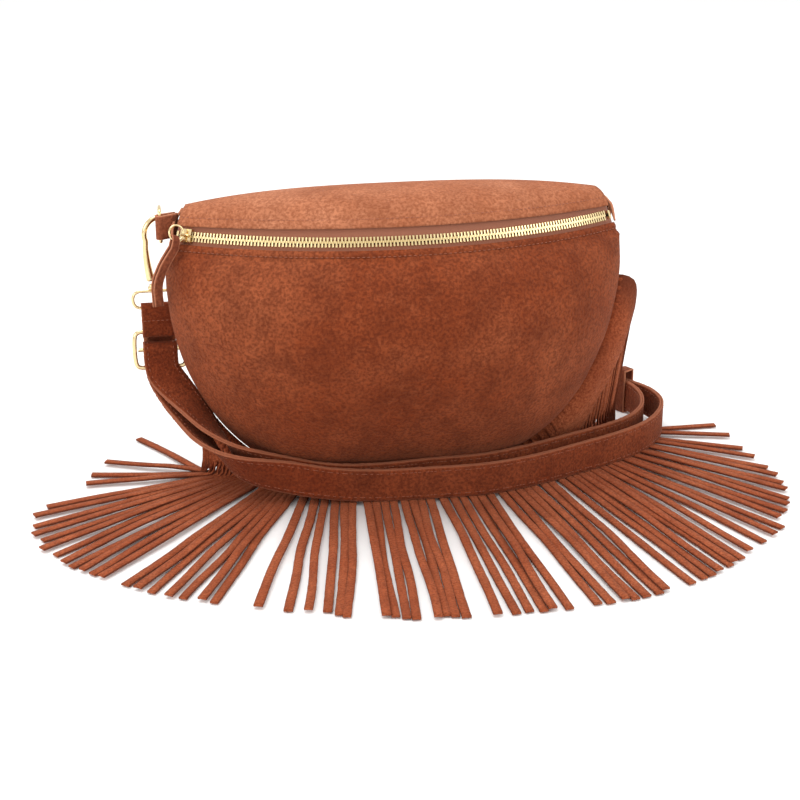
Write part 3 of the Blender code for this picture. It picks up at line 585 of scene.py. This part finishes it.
def corner_patch(side):
    u = skin_span / 2 * (1 if side == "right" else -1)
    tri = np.array([front_line(u, 0), top_line(u, 0), back_line(u, 0)])
    mid = tri.mean(axis=0)
    out = direction(np.cross(tri[1] - tri[0], tri[2] - tri[0]))
    out = out * math.copysign(1, out[0] * u)
    bm = bmesh.new()
    bm.loops.layers.uv.new("cloth")
    corners = [bm.verts.new(Vector(mid + (q - mid) * 1.06 + out * 0.0016)) for q in tri]
    bm.faces.new(corners)
    bmesh.ops.subdivide_edges(bm, edges=bm.edges[:], cuts=6, use_grid_fill=True)
    for v in bm.verts:
        r = (Vector(mid) - v.co).length / 0.012
        v.co += Vector(out) * 0.0022 * max(0, 1 - r * r)
    bmesh.ops.smooth_vert(bm, verts=bm.verts, factor=0.5, use_axis_x=True, use_axis_y=True,
                          use_axis_z=True)
    bmesh.ops.recalc_face_normals(bm, faces=bm.faces)
    piece(side + "_ear_patch", bm, ear_suede,
          node=[side + "_corner_patch"], thick=0.0014)


def corner_ear(side, root, bar, tall):
    root, bar = np.array(root), np.array(bar)
    go = direction(bar - root)
    across = np.array([-go[1], go[0], 0])
    wire, play, half_strip = 0.0012, 0.0004, 0.0008
    r = wire + play + half_strip
    fold = [bar + r * (math.sin(t) * go + math.cos(t) * across)
            for t in np.linspace(0, math.pi, 14)]
    path = [root + across * r * 0.75, (root + bar) / 2 + across * r * 0.85] + fold
    path += [(root + bar) / 2 - across * r * 0.85, root - across * r * 0.75]
    folded_strip(side + "_ear", path, [(0, 0, 1)] * len(path), tall, 0.0014, ear_suede, "bag",
                 [side + "_corner_tab"], steps=8, fuzz=0.0002)


corner_patch("left")
corner_patch("right")
corner_ear("left", (-0.1462, 0.0185, 0.1880), (-0.1572, 0.0130, 0.1880), 0.016)
corner_ear("right", (0.1480, 0.0200, 0.1760), (0.1530, 0.0350, 0.1760), 0.017)


# D-rings and snap hooks
# Cast pale gold fittings: a wire D-ring in each ear, and hanging from it a swivel snap hook with a
# wide round bow, a flat spring gate with a thumb knob, and a turning stud over an oblong ring.
def dee(side, bar, go):
    bar, go, up = np.array(bar), direction(go), np.array([0, 0, 1])
    deep = 0.0230 if side == "left" else 0.0210
    half_tall = 0.0112
    pts = [bar + up * half_tall * k for k in (-0.85, -0.4, 0, 0.4, 0.85)]
    pts += [bar + go * deep * x + up * half_tall * z for x, z in
            ((0.18, 1.0), (0.45, 0.98), (0.75, 0.80), (0.94, 0.45), (1.0, 0.0),
             (0.94, -0.45), (0.75, -0.80), (0.45, -0.98), (0.18, -1.0))]
    path = flowing(pts + pts[:1], 4)[:-1]
    drawn_wire(side + "_dee", path, 0.0012, bright_gold, side + "_ring",
               [side + "_d_ring"], closed=True)


dee("left", (-0.1572, 0.0130, 0.1880), (0.02, 1, 0))
dee("right", (0.1530, 0.0350, 0.1760), (-0.30, 1, 0))


def snap_hook(side, place, turn):
    place = np.array(place)
    ex = np.array([math.cos(turn), math.sin(turn), 0])
    ey = np.array([-math.sin(turn), math.cos(turn), 0])

    def at(x, y, z):
        return place + ex * x + ey * y + np.array([0, 0, z])

    bow_radius = 0.0117
    bow = [at(0.0095 + bow_radius * math.cos(t), 0, 0.0365 + bow_radius * math.sin(t))
           for t in np.linspace(math.radians(200), math.radians(-14), 30)]
    arm = flowing([at(0.0006, 0, 0.0052), at(-0.0004, 0, 0.0105), at(-0.0014, 0, 0.0190),
                   at(-0.0018, 0, 0.0270)], 4)
    thick = np.concatenate([np.linspace(0.0030, 0.0019, len(arm)), np.full(len(bow), 0.0018)])
    drawn_wire(side + "_hook_bow", np.vstack([arm, bow]), thick, bright_gold, side + "_hook",
               [side + "_hook_body"], sides=14)
    foot, nose = np.array([0.0050, 0.0062]), np.array([0.0200, 0.0305])
    go = direction(nose - foot)
    off = np.array([-go[1], go[0]])
    bm = bmesh.new()
    bar = bmesh.ops.create_cube(bm, size=1.0)["verts"]
    turn_to = Matrix((tuple(ex * off[0] + np.array([0, 0, off[1]])), tuple(ey),
                      tuple(ex * go[0] + np.array([0, 0, go[1]])))).transposed().to_4x4()
    bmesh.ops.scale(bm, verts=bar, vec=(0.0036, 0.0022, np.linalg.norm(nose - foot)))
    bmesh.ops.subdivide_edges(bm, edges=bm.edges[:], cuts=3, use_grid_fill=True)
    for v in bm.verts:
        v.co.x *= 1.0 - 0.3 * abs(v.co.z) / 0.0143
    mid = (foot + nose) / 2
    bmesh.ops.transform(bm, matrix=Matrix.Translation(Vector(at(mid[0], 0, mid[1]))) @ turn_to,
                        verts=bm.verts)
    bmesh.ops.bevel(bm, geom=[e for e in bm.edges if e.calc_face_angle(0) > 1.0], offset=0.0004,
                    affect="EDGES", segments=2, profile=0.5, material=-1)
    piece(side + "_gate_bar", bm, bright_gold, side + "_gate",
          [side + "_hook_gate"], smooth=False)
    knob = [at(mid[0] - off[0] * (0.0030 + t), 0, mid[1] - off[1] * (0.0030 + t))
            for t in (-0.0015, 0, 0.0012, 0.0018, 0.0026, 0.0030)]
    drawn_wire(side + "_gate_knob", knob, [0.0013, 0.0013, 0.0013, 0.0021, 0.0021, 0.0013],
               bright_gold, side + "_gate",
               [side + "_hook_thumb_knob"], sides=16)
    stud = [at(0.0006, 0, z) for z in (0.0019, 0.0012, 0.0006, 0.0003, -0.0008, -0.0011)]
    drawn_wire(side + "_stud", stud, [0.0014, 0.0014, 0.0014, 0.0023, 0.0024, 0.0018], bright_gold,
               "bag", [side + "_swivel_stud"], sides=16)


snap_hook("left", (-0.1655, 0.0290, 0.1420), math.radians(12))
snap_hook("right", (0.1560, 0.0500, 0.1300), math.radians(180))

left_ring_mid = np.array([-0.1616, 0.0290, 0.1335])
right_ring_mid = np.array([0.1560, 0.0500, 0.1215])
ring_half_long, ring_half_tall = 0.0157, 0.0058


def oblong_ring(side, middle, along):
    c, a, up = middle, np.array(along), np.array([0, 0, 1])
    pts = [c + a * ring_half_long * x + up * ring_half_tall * z for x, z in
           ((-0.75, 1), (-0.35, 1), (0, 1), (0.35, 1), (0.75, 1), (0.95, 0.7), (1.03, 0),
            (0.95, -0.7), (0.75, -1), (0.35, -1), (0, -1), (-0.35, -1), (-0.75, -1),
            (-0.95, -0.7), (-1.03, 0), (-0.95, 0.7))]
    drawn_wire(side + "_oblong", flowing(pts + pts[:1], 3)[:-1], 0.0011, bright_gold, "bag",
               [side + "_strap_ring"], closed=True)


oblong_ring("left", left_ring_mid, (1, 0, 0))
oblong_ring("right", right_ring_mid, (0, 1, 0))


# Link tab and buckle
# A loop of suede joins the oblong ring to the buckle, pinched together and sewn across its middle.
# The buckle is a rounded gold frame with a centre bar that the strap turns over.
strap_suede = suede_finish("strap_suede", (0.200, 0.034, 0.0085), (0.350, 0.086, 0.031),
                           (0.066, 0.0095, 0.0022), nap=560.0, rim=((0.36, 0.12, 0.06), 0.045))
thread = woven_finish("waxed_thread", (0.30, 0.085, 0.038), (0.46, 0.16, 0.085), 20)
buckle_mid = np.array([-0.1612, 0.0290, 0.0975])


def stitching(name, spots, size):
    """Row of thread stitches; each spot is a place, a direction and the side it faces."""
    row = bmesh.new()
    for first in range(0, len(spots), 40):
        bm = bmesh.new()
        for p, go, out in spots[first:first + 40]:
            turn = Matrix((tuple(np.cross(out, go)), tuple(go), tuple(out))).transposed().to_4x4()
            bmesh.ops.create_uvsphere(bm, u_segments=5, v_segments=4, radius=1.0,
                                      matrix=Matrix.Translation(Vector(p)) @ turn
                                      @ Matrix.Diagonal((*size, 1)))
        run_of = bpy.data.meshes.new("stitches")
        bm.to_mesh(run_of)
        bm.free()
        row.from_mesh(run_of)
        bpy.data.meshes.remove(run_of)
    return piece(name, row, thread)


top_bar = left_ring_mid - (0, 0, ring_half_tall)
low_bar = np.array([left_ring_mid[0], buckle_mid[1] + 0.0011, buckle_mid[2] + 0.0125])
drop = low_bar[2] - top_bar[2]
back_way, rise = np.array([0, 1.0, 0]), np.array([0, 0, 1.0])
loop = [top_bar + 0.0026 * (math.cos(t) * back_way + math.sin(t) * rise)
        for t in np.linspace(-0.2, math.pi + 0.2, 14)]
loop += [top_bar - back_way * 0.0013 + rise * drop * k for k in (0.36, 0.45, 0.55, 0.64)]
loop += [low_bar + 0.0030 * (math.cos(t) * back_way + math.sin(t) * rise)
         for t in np.linspace(math.pi - 0.2, 2 * math.pi + 0.2, 14)]
loop += [top_bar + back_way * 0.0013 + rise * drop * k for k in (0.64, 0.55, 0.45, 0.36)]
folded_strip("link_tab", loop, [(1, 0, 0)] * len(loop), 0.0220, 0.0016, strap_suede, "bag",
             ["left_link_tab"], steps=8, fuzz=0.0003, closed=True)
stitching("link_stitches", [(top_bar + np.array([x, -0.0023, drop * 0.5]), np.array([1.0, 0, 0]),
                             np.array([0, -1.0, 0])) for x in np.arange(-0.0090, 0.0095, 0.0030)],
          (0.00030, 0.0011, 0.00030))

buckle_up, buckle_half_wide, buckle_half_tall = direction((0, 0.12, 1)), 0.0168, 0.0125
bends = [buckle_mid + np.array([buckle_half_wide * x, 0, 0]) + buckle_up * buckle_half_tall * z
         for x, z in ((-0.8, 1), (-0.3, 1), (0.3, 1), (0.8, 1), (0.97, 0.85), (1.03, 0.4),
                      (1.03, -0.4), (0.97, -0.85), (0.8, -1), (0.3, -1), (-0.3, -1), (-0.8, -1),
                      (-0.97, -0.85), (-1.03, -0.4), (-1.03, 0.4), (-0.97, 0.85))]
drawn_wire("buckle_wire", flowing(bends + bends[:1], 3)[:-1], 0.0015, bright_gold, "bag",
           ["buckle_frame"], sides=14, closed=True)
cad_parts["buckle_bar"].data.materials.clear()
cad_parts["buckle_bar"].data.materials.append(bright_gold)


# Topstitching beside the zip
# A row of thread stitches holds down the turned edge of the front panel below the zip, and another
# that of the top panel above it.
hem_stitches_a_row, hem_span = 96, 1.92


def hem_row(line, t):
    """Spots for the stitches along a panel, at its share t from the turned edge."""
    spots = []
    for k in range(hem_stitches_a_row):
        u = (k + 0.5) / hem_stitches_a_row * hem_span - hem_span / 2
        p, q = line(u, t), line(u + 0.004, t)
        along = direction(q - p)
        out = on_zip(u * zip_angle)[2]
        out = direction(out - along * np.dot(out, along))
        spots.append((p + out * 0.00082, along, out))
    return spots


stitching("hem_stitches", hem_row(front_line, 0.066) + hem_row(top_line, 0.145),
          (0.00026, 0.00115, 0.00022))


# Shoulder strap
# One long strap of two suede plies laid back to back and stitched near both edges, so its raw
# fuzzy edges show double. It turns over the buckle bar and lies doubled round the bag's base.
rows = [(0.0000, 0.0000, -0.0030, 1, 0, 0, 0.0040), (0.0002, -0.0008, -0.0100, 1, 0, 0, 0.0041),
        (0.0020, -0.0036, -0.0180, 1, 0.05, 0, 0.0042),
        (0.0088, -0.0110, -0.0280, 0.97, 0.20, -0.05, 0.0046),
        (0.0178, -0.0220, -0.0390, 0.85, 0.45, -0.2, 0.0048),
        (0.0297, -0.0360, -0.0529, 0.60, 0.60, -0.5, 0.0050),
        (0.0510, -0.0485, -0.0680, 0.25, 0.35, -0.9, 0.0046)]
start_rows = [(*(buckle_mid + r[:3]), *r[3:]) for r in rows]
strap_width, strap_clear = 0.0230, 0.0020
strap_low = strap_clear + strap_width / 2
plan = [(-0.0800, -0.0275, 0.0080, 0.0038), (-0.0500, -0.0310, 0.0025, 0.0038),
        (-0.0200, -0.0310, 0, 0.0054), (0.0200, -0.0308, 0, 0.0076), (0.0550, -0.0300, 0, 0.0080),
        (0.0900, -0.0210, 0, 0.0084), (0.1250, -0.0068, 0, 0.0084), (0.1560, 0.0065, 0, 0.0080),
        (0.1790, 0.0205, 0, 0.0076), (0.1940, 0.0380, 0, 0.0072), (0.2015, 0.0560, 0, 0.0070),
        (0.2020, 0.0750, 0, 0.0050), (0.1960, 0.0930, 0, 0.0019), (0.1890, 0.1040, 0, 0.0019)]
run = flowing(start_rows + [(x, y, strap_low + z, 0, 0, -1, s) for x, y, z, s in plan], 5)
mid, wide, apart = run[:, :3], run[:, 3:6], run[:, 6:7]
ahead = np.gradient(mid, axis=0)
ahead /= np.linalg.norm(ahead, axis=1, keepdims=True)
wide = wide - ahead * np.sum(wide * ahead, 1, keepdims=True)
wide /= np.linalg.norm(wide, axis=1, keepdims=True)
face = np.cross(ahead, wide)
inner, outer = mid + face * apart, mid - face * apart
turn = [buckle_mid + (0, 0.0040 * math.cos(t), 0.0040 * math.sin(t))
        for t in np.linspace(0.25, math.pi - 0.25, 9)]
tail = [(0.1800, 0.1160, strap_low, 0, 0, -1), (0.1660, 0.1200, strap_low + 0.002, 0, 0.05, -1),
        (0.1530, 0.1150, strap_low + 0.008, 0, 0.15, -1),
        (0.1470, 0.1020, strap_low + 0.020, 0, 0.4, -0.9),
        (0.1480, 0.0870, strap_low + 0.034, 0.1, 0.7, -0.7),
        (0.1520, 0.0730, strap_low + 0.048, 0.1, 1, -0.3),
        (0.1540, 0.0610, strap_low + 0.062, 0, 1, 0), (0.1540, 0.0540, strap_low + 0.077, 0, 1, 0),
        (0.1540, 0.0505, 0.1050, 0, 1, 0)]
up_run = [(*a, *b) for a, b in zip(outer, wide)]
tail = flowing([up_run[-1]] + tail, 4)[1:]
hold = right_ring_mid - (0, 0, ring_half_tall)
over = [hold + np.array([-math.cos(t), 0, math.sin(t)]) * 0.0031
        for t in np.linspace(-0.1, math.pi + 0.2, 11)]
over += [np.array([0.15760, 0.0502, 0.1050]), np.array([0.15780, 0.0520, 0.0960])]
strap_path = np.array([*inner[::-1], *turn[::-1], *outer, *tail[:, :3], *over])
strap_wide = np.array([*wide[::-1], *[(1, 0, 0)] * len(turn), *wide, *tail[:, 3:6],
                       *[(0, 1, 0)] * len(over)], float)
both = flowing(np.hstack([strap_path, strap_wide]), 3)
strap_path, strap_wide = both[:, :3], both[:, 3:]
ahead = np.gradient(strap_path, axis=0)
ahead /= np.linalg.norm(ahead, axis=1, keepdims=True)
strap_wide = strap_wide - ahead * np.sum(strap_wide * ahead, 1, keepdims=True)
strap_wide /= np.linalg.norm(strap_wide, axis=1, keepdims=True)
strap_face = np.cross(ahead, strap_wide)
single = 3 * (len(over) + 1)
ply = np.full(len(strap_path), 0.00078)
ply[-single:] = 0.0
for name, side in (("strap_ply_a", 1), ("strap_ply_b", -1)):
    stop = len(strap_path) if side > 0 else len(strap_path) - single
    folded_strip(name, (strap_path + strap_face * ply[:, None] * side)[:stop], strap_wide[:stop],
                 strap_width, 0.0013, strap_suede, "bag", ["strap"] if side > 0 else [],
                 steps=10, fuzz=0.00035)

length = np.concatenate([[0], np.cumsum(np.linalg.norm(np.diff(strap_path, axis=0), axis=1))])
stitch_pitch, stitch_edge = 0.0034, 0.0087
spots = []
for s in np.arange(0.006, length[-single] - 0.004, stitch_pitch):
    i = int(np.searchsorted(length, s))
    for edge in (-stitch_edge, stitch_edge):
        for side in (-1, 1):
            spots.append((strap_path[i] + strap_wide[i] * edge + strap_face[i] * side * 0.00146,
                          ahead[i], strap_face[i] * side))
stitching("strap_stitches", spots, (0.00024, 0.00115, 0.00020))

# The short end of the strap, turned back behind the buckle, closes the gap above the bar.
tongue = flowing([buckle_mid + (0, 0.0078, z)
                  for z in (-0.0110, -0.0040, 0.0040, 0.0120, 0.0195)], 4)
folded_strip("strap_tongue", tongue, [(1, 0, 0)] * len(tongue), 0.0220, 0.0013, dark_suede, "bag",
             [], steps=6, fuzz=0.0003)


# Strap keeper
# A narrow band of dark suede sewn round both runs of the strap where the inner run ends, which
# keeps the two runs together.
keeper_mid, keeper_go = run[-4, :3], direction(run[-1, :3] - run[-7, :3])
keeper_out = np.cross(keeper_go, (0, 0, -1))
keeper_half_deep, keeper_half_tall = 0.0044, 0.0166
corners = [(-1, -1), (-0.4, -1), (0.4, -1), (1, -1), (1, -0.5), (1, 0.5), (1, 1), (0.4, 1),
           (-0.4, 1), (-1, 1), (-1, 0.5), (-1, -0.5)]
band = [keeper_mid + (0, 0, 0.0030) + keeper_out * keeper_half_deep * x
        + np.array([0, 0, keeper_half_tall * y]) for x, y in corners]
folded_strip("keeper_band", band, [keeper_go] * len(band), 0.0090, 0.0011, dark_suede, "bag",
             ["strap_keeper"], steps=4, fuzz=0.0002, closed=True)


# Fringe
# One band of suede caught in the side seam and cut into long narrow strips, which fall to the
# floor and fan out there. Some lie in clusters and ride up on the strips beside them.
fringe_suede = suede_finish("fringe_suede", (0.350, 0.078, 0.027), (0.520, 0.150, 0.062),
                            (0.145, 0.025, 0.007), nap=620.0, rim=((0.110, 0.024, 0.010), 0.07),
                            patches=14.0)
strip_thick, strip_wide = 0.0013, 0.0056
fan_ends = [(-180, 102), (-204, 62), (-214, 44), (-218, 26), (-244, -5), (-252, -20), (-252, -34),
            (-252, -48), (-246, -56), (-246, -70), (-238, -78), (-232, -91), (-227, -97),
            (-221, -103), (-215, -108), (-209, -114), (-194, -127), (-187, -133), (-179, -139),
            (-169, -146), (-160, -150), (-149, -154), (-143, -158), (-116, -169), (-99, -176),
            (-88, -178), (-76, -181), (-69, -186), (-65, -189), (-42, -193), (-37, -194),
            (-31, -197), (-25, -199), (-13, -200), (-7, -198), (-2, -200), (5, -202), (24, -203),
            (35, -203), (43, -202), (52, -203), (58, -202), (67, -203), (86, -200), (95, -200),
            (104, -198), (111, -198), (119, -196), (127, -194), (132, -191), (151, -185),
            (161, -180), (167, -177), (173, -173), (182, -167), (187, -163), (193, -159),
            (202, -150), (216, -139), (226, -131), (235, -122), (239, -107), (247, -98),
            (253, -89), (256, -80), (260, -67), (262, -55), (263, -43), (262, -28), (259, -10),
            (257, 8), (255, 30), (252, 52)]
left_strips = 23
band_start, band_length, crowded_length = -0.150, 0.387, 0.086
crowd_end, open_length = -0.064, 0.301
strip_points = 46
rng = np.random.default_rng(11)
wave = rng.uniform(-1, 1, (len(fan_ends), 4))
seam_length = 0.5 * np.linalg.norm(np.diff(side_seam, axis=0), axis=1).sum()


def root_of(i):
    """Place of a strip along the seam, from its lowest point; the left ones crowd together."""
    if i < left_strips:
        return band_start + crowded_length * (i + 0.5) / left_strips
    return crowd_end + open_length * (i + 0.5 - left_strips) / (len(fan_ends) - left_strips)


def strip_fall(run, tip):
    """Points that one strip passes: out of the seam, down, along the floor and to its end."""
    u = run / seam_length
    root = bring(side_seam, (u + 1) / 2)
    base, high, sx = strip_thick / 2, root[2], math.copysign(1, run)
    start = np.array([root[0], 0.012, max(high - 0.0040, 0) + base])
    end = np.array([tip[0], tip[1], base])
    go = direction((end - start) * (1, 1, 0))
    if high < 0.0170:
        foot = start + go * 0.021
        foot[2] = base
        knee = start + go * 0.012 - (0, 0, 0.5 * (start[2] - base))
        return [start, start + go * 0.005, knee, foot] + [foot + (end - foot) * f
                                                         for f in (0.2, 0.45, 0.72, 1.0)]
    back = 0.35 * max(0, high - 0.030)
    ease = min(1, (high - 0.0110) / 0.020)
    off = 0.0070 * ease + 0.15 * max(0, high - 0.080) if run > 0 else 0.0055 * ease
    behind = 0.0 if run > 0 else 0.0070 * ease
    knee = start + seam_away(u) * (0.0030 + 0.0010 * ease)
    turn = np.array([root[0] + sx * off * 0.98, 0.0128 + 0.1 * back,
                     max(start[2] - 0.0120, 0.6 * high)])
    hip = np.array([root[0] + sx * off, 0.0145 + 0.5 * back + behind, 0.50 * high])
    shin = np.array([root[0] + sx * off, 0.0150 + back + behind, base + min(0.006, 0.2 * high)])
    go = direction((end - shin) * (1, 1, 0))
    foot = shin + go * 0.008
    foot[2] = base
    return [start, knee, turn, hip, shin, foot, foot + (end - foot) * 0.5, end]


def strip_course(i):
    """Smooth middle line of a strip with its own drift, lift and twist."""
    run = root_of(i)
    path = flowing(strip_fall(run, np.array(fan_ends[i]) / 1000), 7)
    gone = np.concatenate([[0], np.cumsum(np.linalg.norm(np.diff(path, axis=0), axis=1))])
    s = np.linspace(0, gone[-1], strip_points)
    path = np.stack([np.interp(s, gone, path[:, k]) for k in range(3)], 1)
    path[:, 2] = np.maximum(path[:, 2], strip_thick / 2)
    ahead = np.gradient(path, axis=0)
    ahead /= np.linalg.norm(ahead, axis=1, keepdims=True)
    near = strip_fall(run + 0.004, np.array(fan_ends[min(i + 1, len(fan_ends) - 1)]) / 1000)
    wide = np.array(near[0]) - path[0]
    wide[1] = 0
    down = np.array([0, 0, 1.0])
    share = np.clip((0.030 - path[:, 2]) / 0.025, 0, 1)[:, None]
    flat = np.cross(down, ahead)
    flat = flat if np.dot(flat[-1], wide) > 0 or abs(run) < 1e-3 else -flat
    wide = direction(wide) * (1 - share) + flat * share
    wide -= ahead * np.sum(wide * ahead, 1, keepdims=True)
    wide /= np.linalg.norm(wide, axis=1, keepdims=True)
    t = s / s[-1]
    ease = np.clip((t - 0.25) / 0.4, 0, 1)
    drift = ease * (1 - 0.6 * t) * (0.0030 * wave[i, 0] * np.sin(5.0 * t + 2 * wave[i, 1])
                                    + 0.0012 * wave[i, 2] * np.sin(13 * t + 3 * wave[i, 3]))
    on_floor = share[:, 0]
    layer = strip_thick * 1.15 * ((i % 2) if i < 26 or i > 52 else (i % 4 == 1))
    lift = on_floor * ease * (layer * np.clip(1.4 - 0.6 * t, 0, 1) + 0.0011 * abs(wave[i, 3])
                              * np.sin(math.pi * t) ** 2)
    path = path + flat * drift[:, None] * on_floor[:, None] + np.outer(lift, down)
    roll = np.where(on_floor > 0.9, 0.10 * wave[i, 2] * ease * (1 - t),
                    0.45 * wave[i, 1] * (1 - on_floor) * np.clip(4 * t - 0.25, 0, 1))
    up = np.cross(wide, ahead)
    up = up * np.sign(up[-1, 2])
    path = path + np.outer(np.abs(np.sin(roll)) * strip_wide / 2 * on_floor, down)
    narrow = 1 - 0.36 * (1 - on_floor) if path[0, 2] > 0.0136 else np.ones(strip_points)
    wide = (wide * np.cos(roll)[:, None] + up * np.sin(roll)[:, None]) * narrow[:, None]
    return path, wide, up, s[-1]


strips = bmesh.new()
strips.loops.layers.uv.new("cloth")
for i in range(len(fan_ends)):
    path, wide, up, long = strip_course(i)
    size = strip_wide * (1 + 0.06 * wave[i, 0])
    bm = bmesh.new()
    bm.loops.layers.uv.new("cloth")
    bmesh.ops.create_grid(bm, x_segments=2, y_segments=strip_points - 1, size=0.5, calc_uvs=True)
    for v in bm.verts:
        k, x = round((v.co.y + 0.5) * (strip_points - 1)), v.co.x
        ragged = 0.00022 * noise.noise(Vector(path[k]) * 700) * math.copysign(1, x) if x else 0
        v.co = Vector(path[k] + wide[k] * (size * x + ragged) + up[k] * 0.0002 * (1 - 4 * x * x))
    bmesh.ops.recalc_face_normals(bm, faces=bm.faces)
    cut_strip = bpy.data.meshes.new("strip")
    bm.to_mesh(cut_strip)
    bm.free()
    strips.from_mesh(cut_strip)
    bpy.data.meshes.remove(cut_strip)
fringe = piece("fringe_strips", strips, fringe_suede, "bag", ["fringe"], strip_thick)


def header(u, v):
    """The uncut edge of the band next to the seam, which follows the strips' own fall."""
    run = band_start + band_length * u
    if run < crowd_end:
        place = (run - band_start) / crowded_length * left_strips - 0.5
    else:
        place = (run - crowd_end) / open_length * (len(fan_ends) - left_strips) - 0.5 + left_strips
    ends = np.array(fan_ends) / 1000
    tip = [np.interp(place, np.arange(len(ends)), ends[:, k]) for k in (0, 1)]
    path = flowing(strip_fall(run, np.array(tip)), 5)
    path[:, 2] = np.maximum(path[:, 2], strip_thick / 2)
    gone = np.concatenate([[0], np.cumsum(np.linalg.norm(np.diff(path, axis=0), axis=1))])
    deep = 0.010 + 0.030 * min(1, max(0, (run - 0.06) / 0.07))
    out = seam_away(run / seam_length) * 0.0013 * min(1, 6 * v) * min(1, max(0, (run - 0.07) / 0.02))
    return Vector([float(np.interp(v * deep, gone, path[:, k])) for k in range(3)]) + Vector(out)


laid_skin("fringe_header", 160, 8, header, strip_thick, fringe_suede)
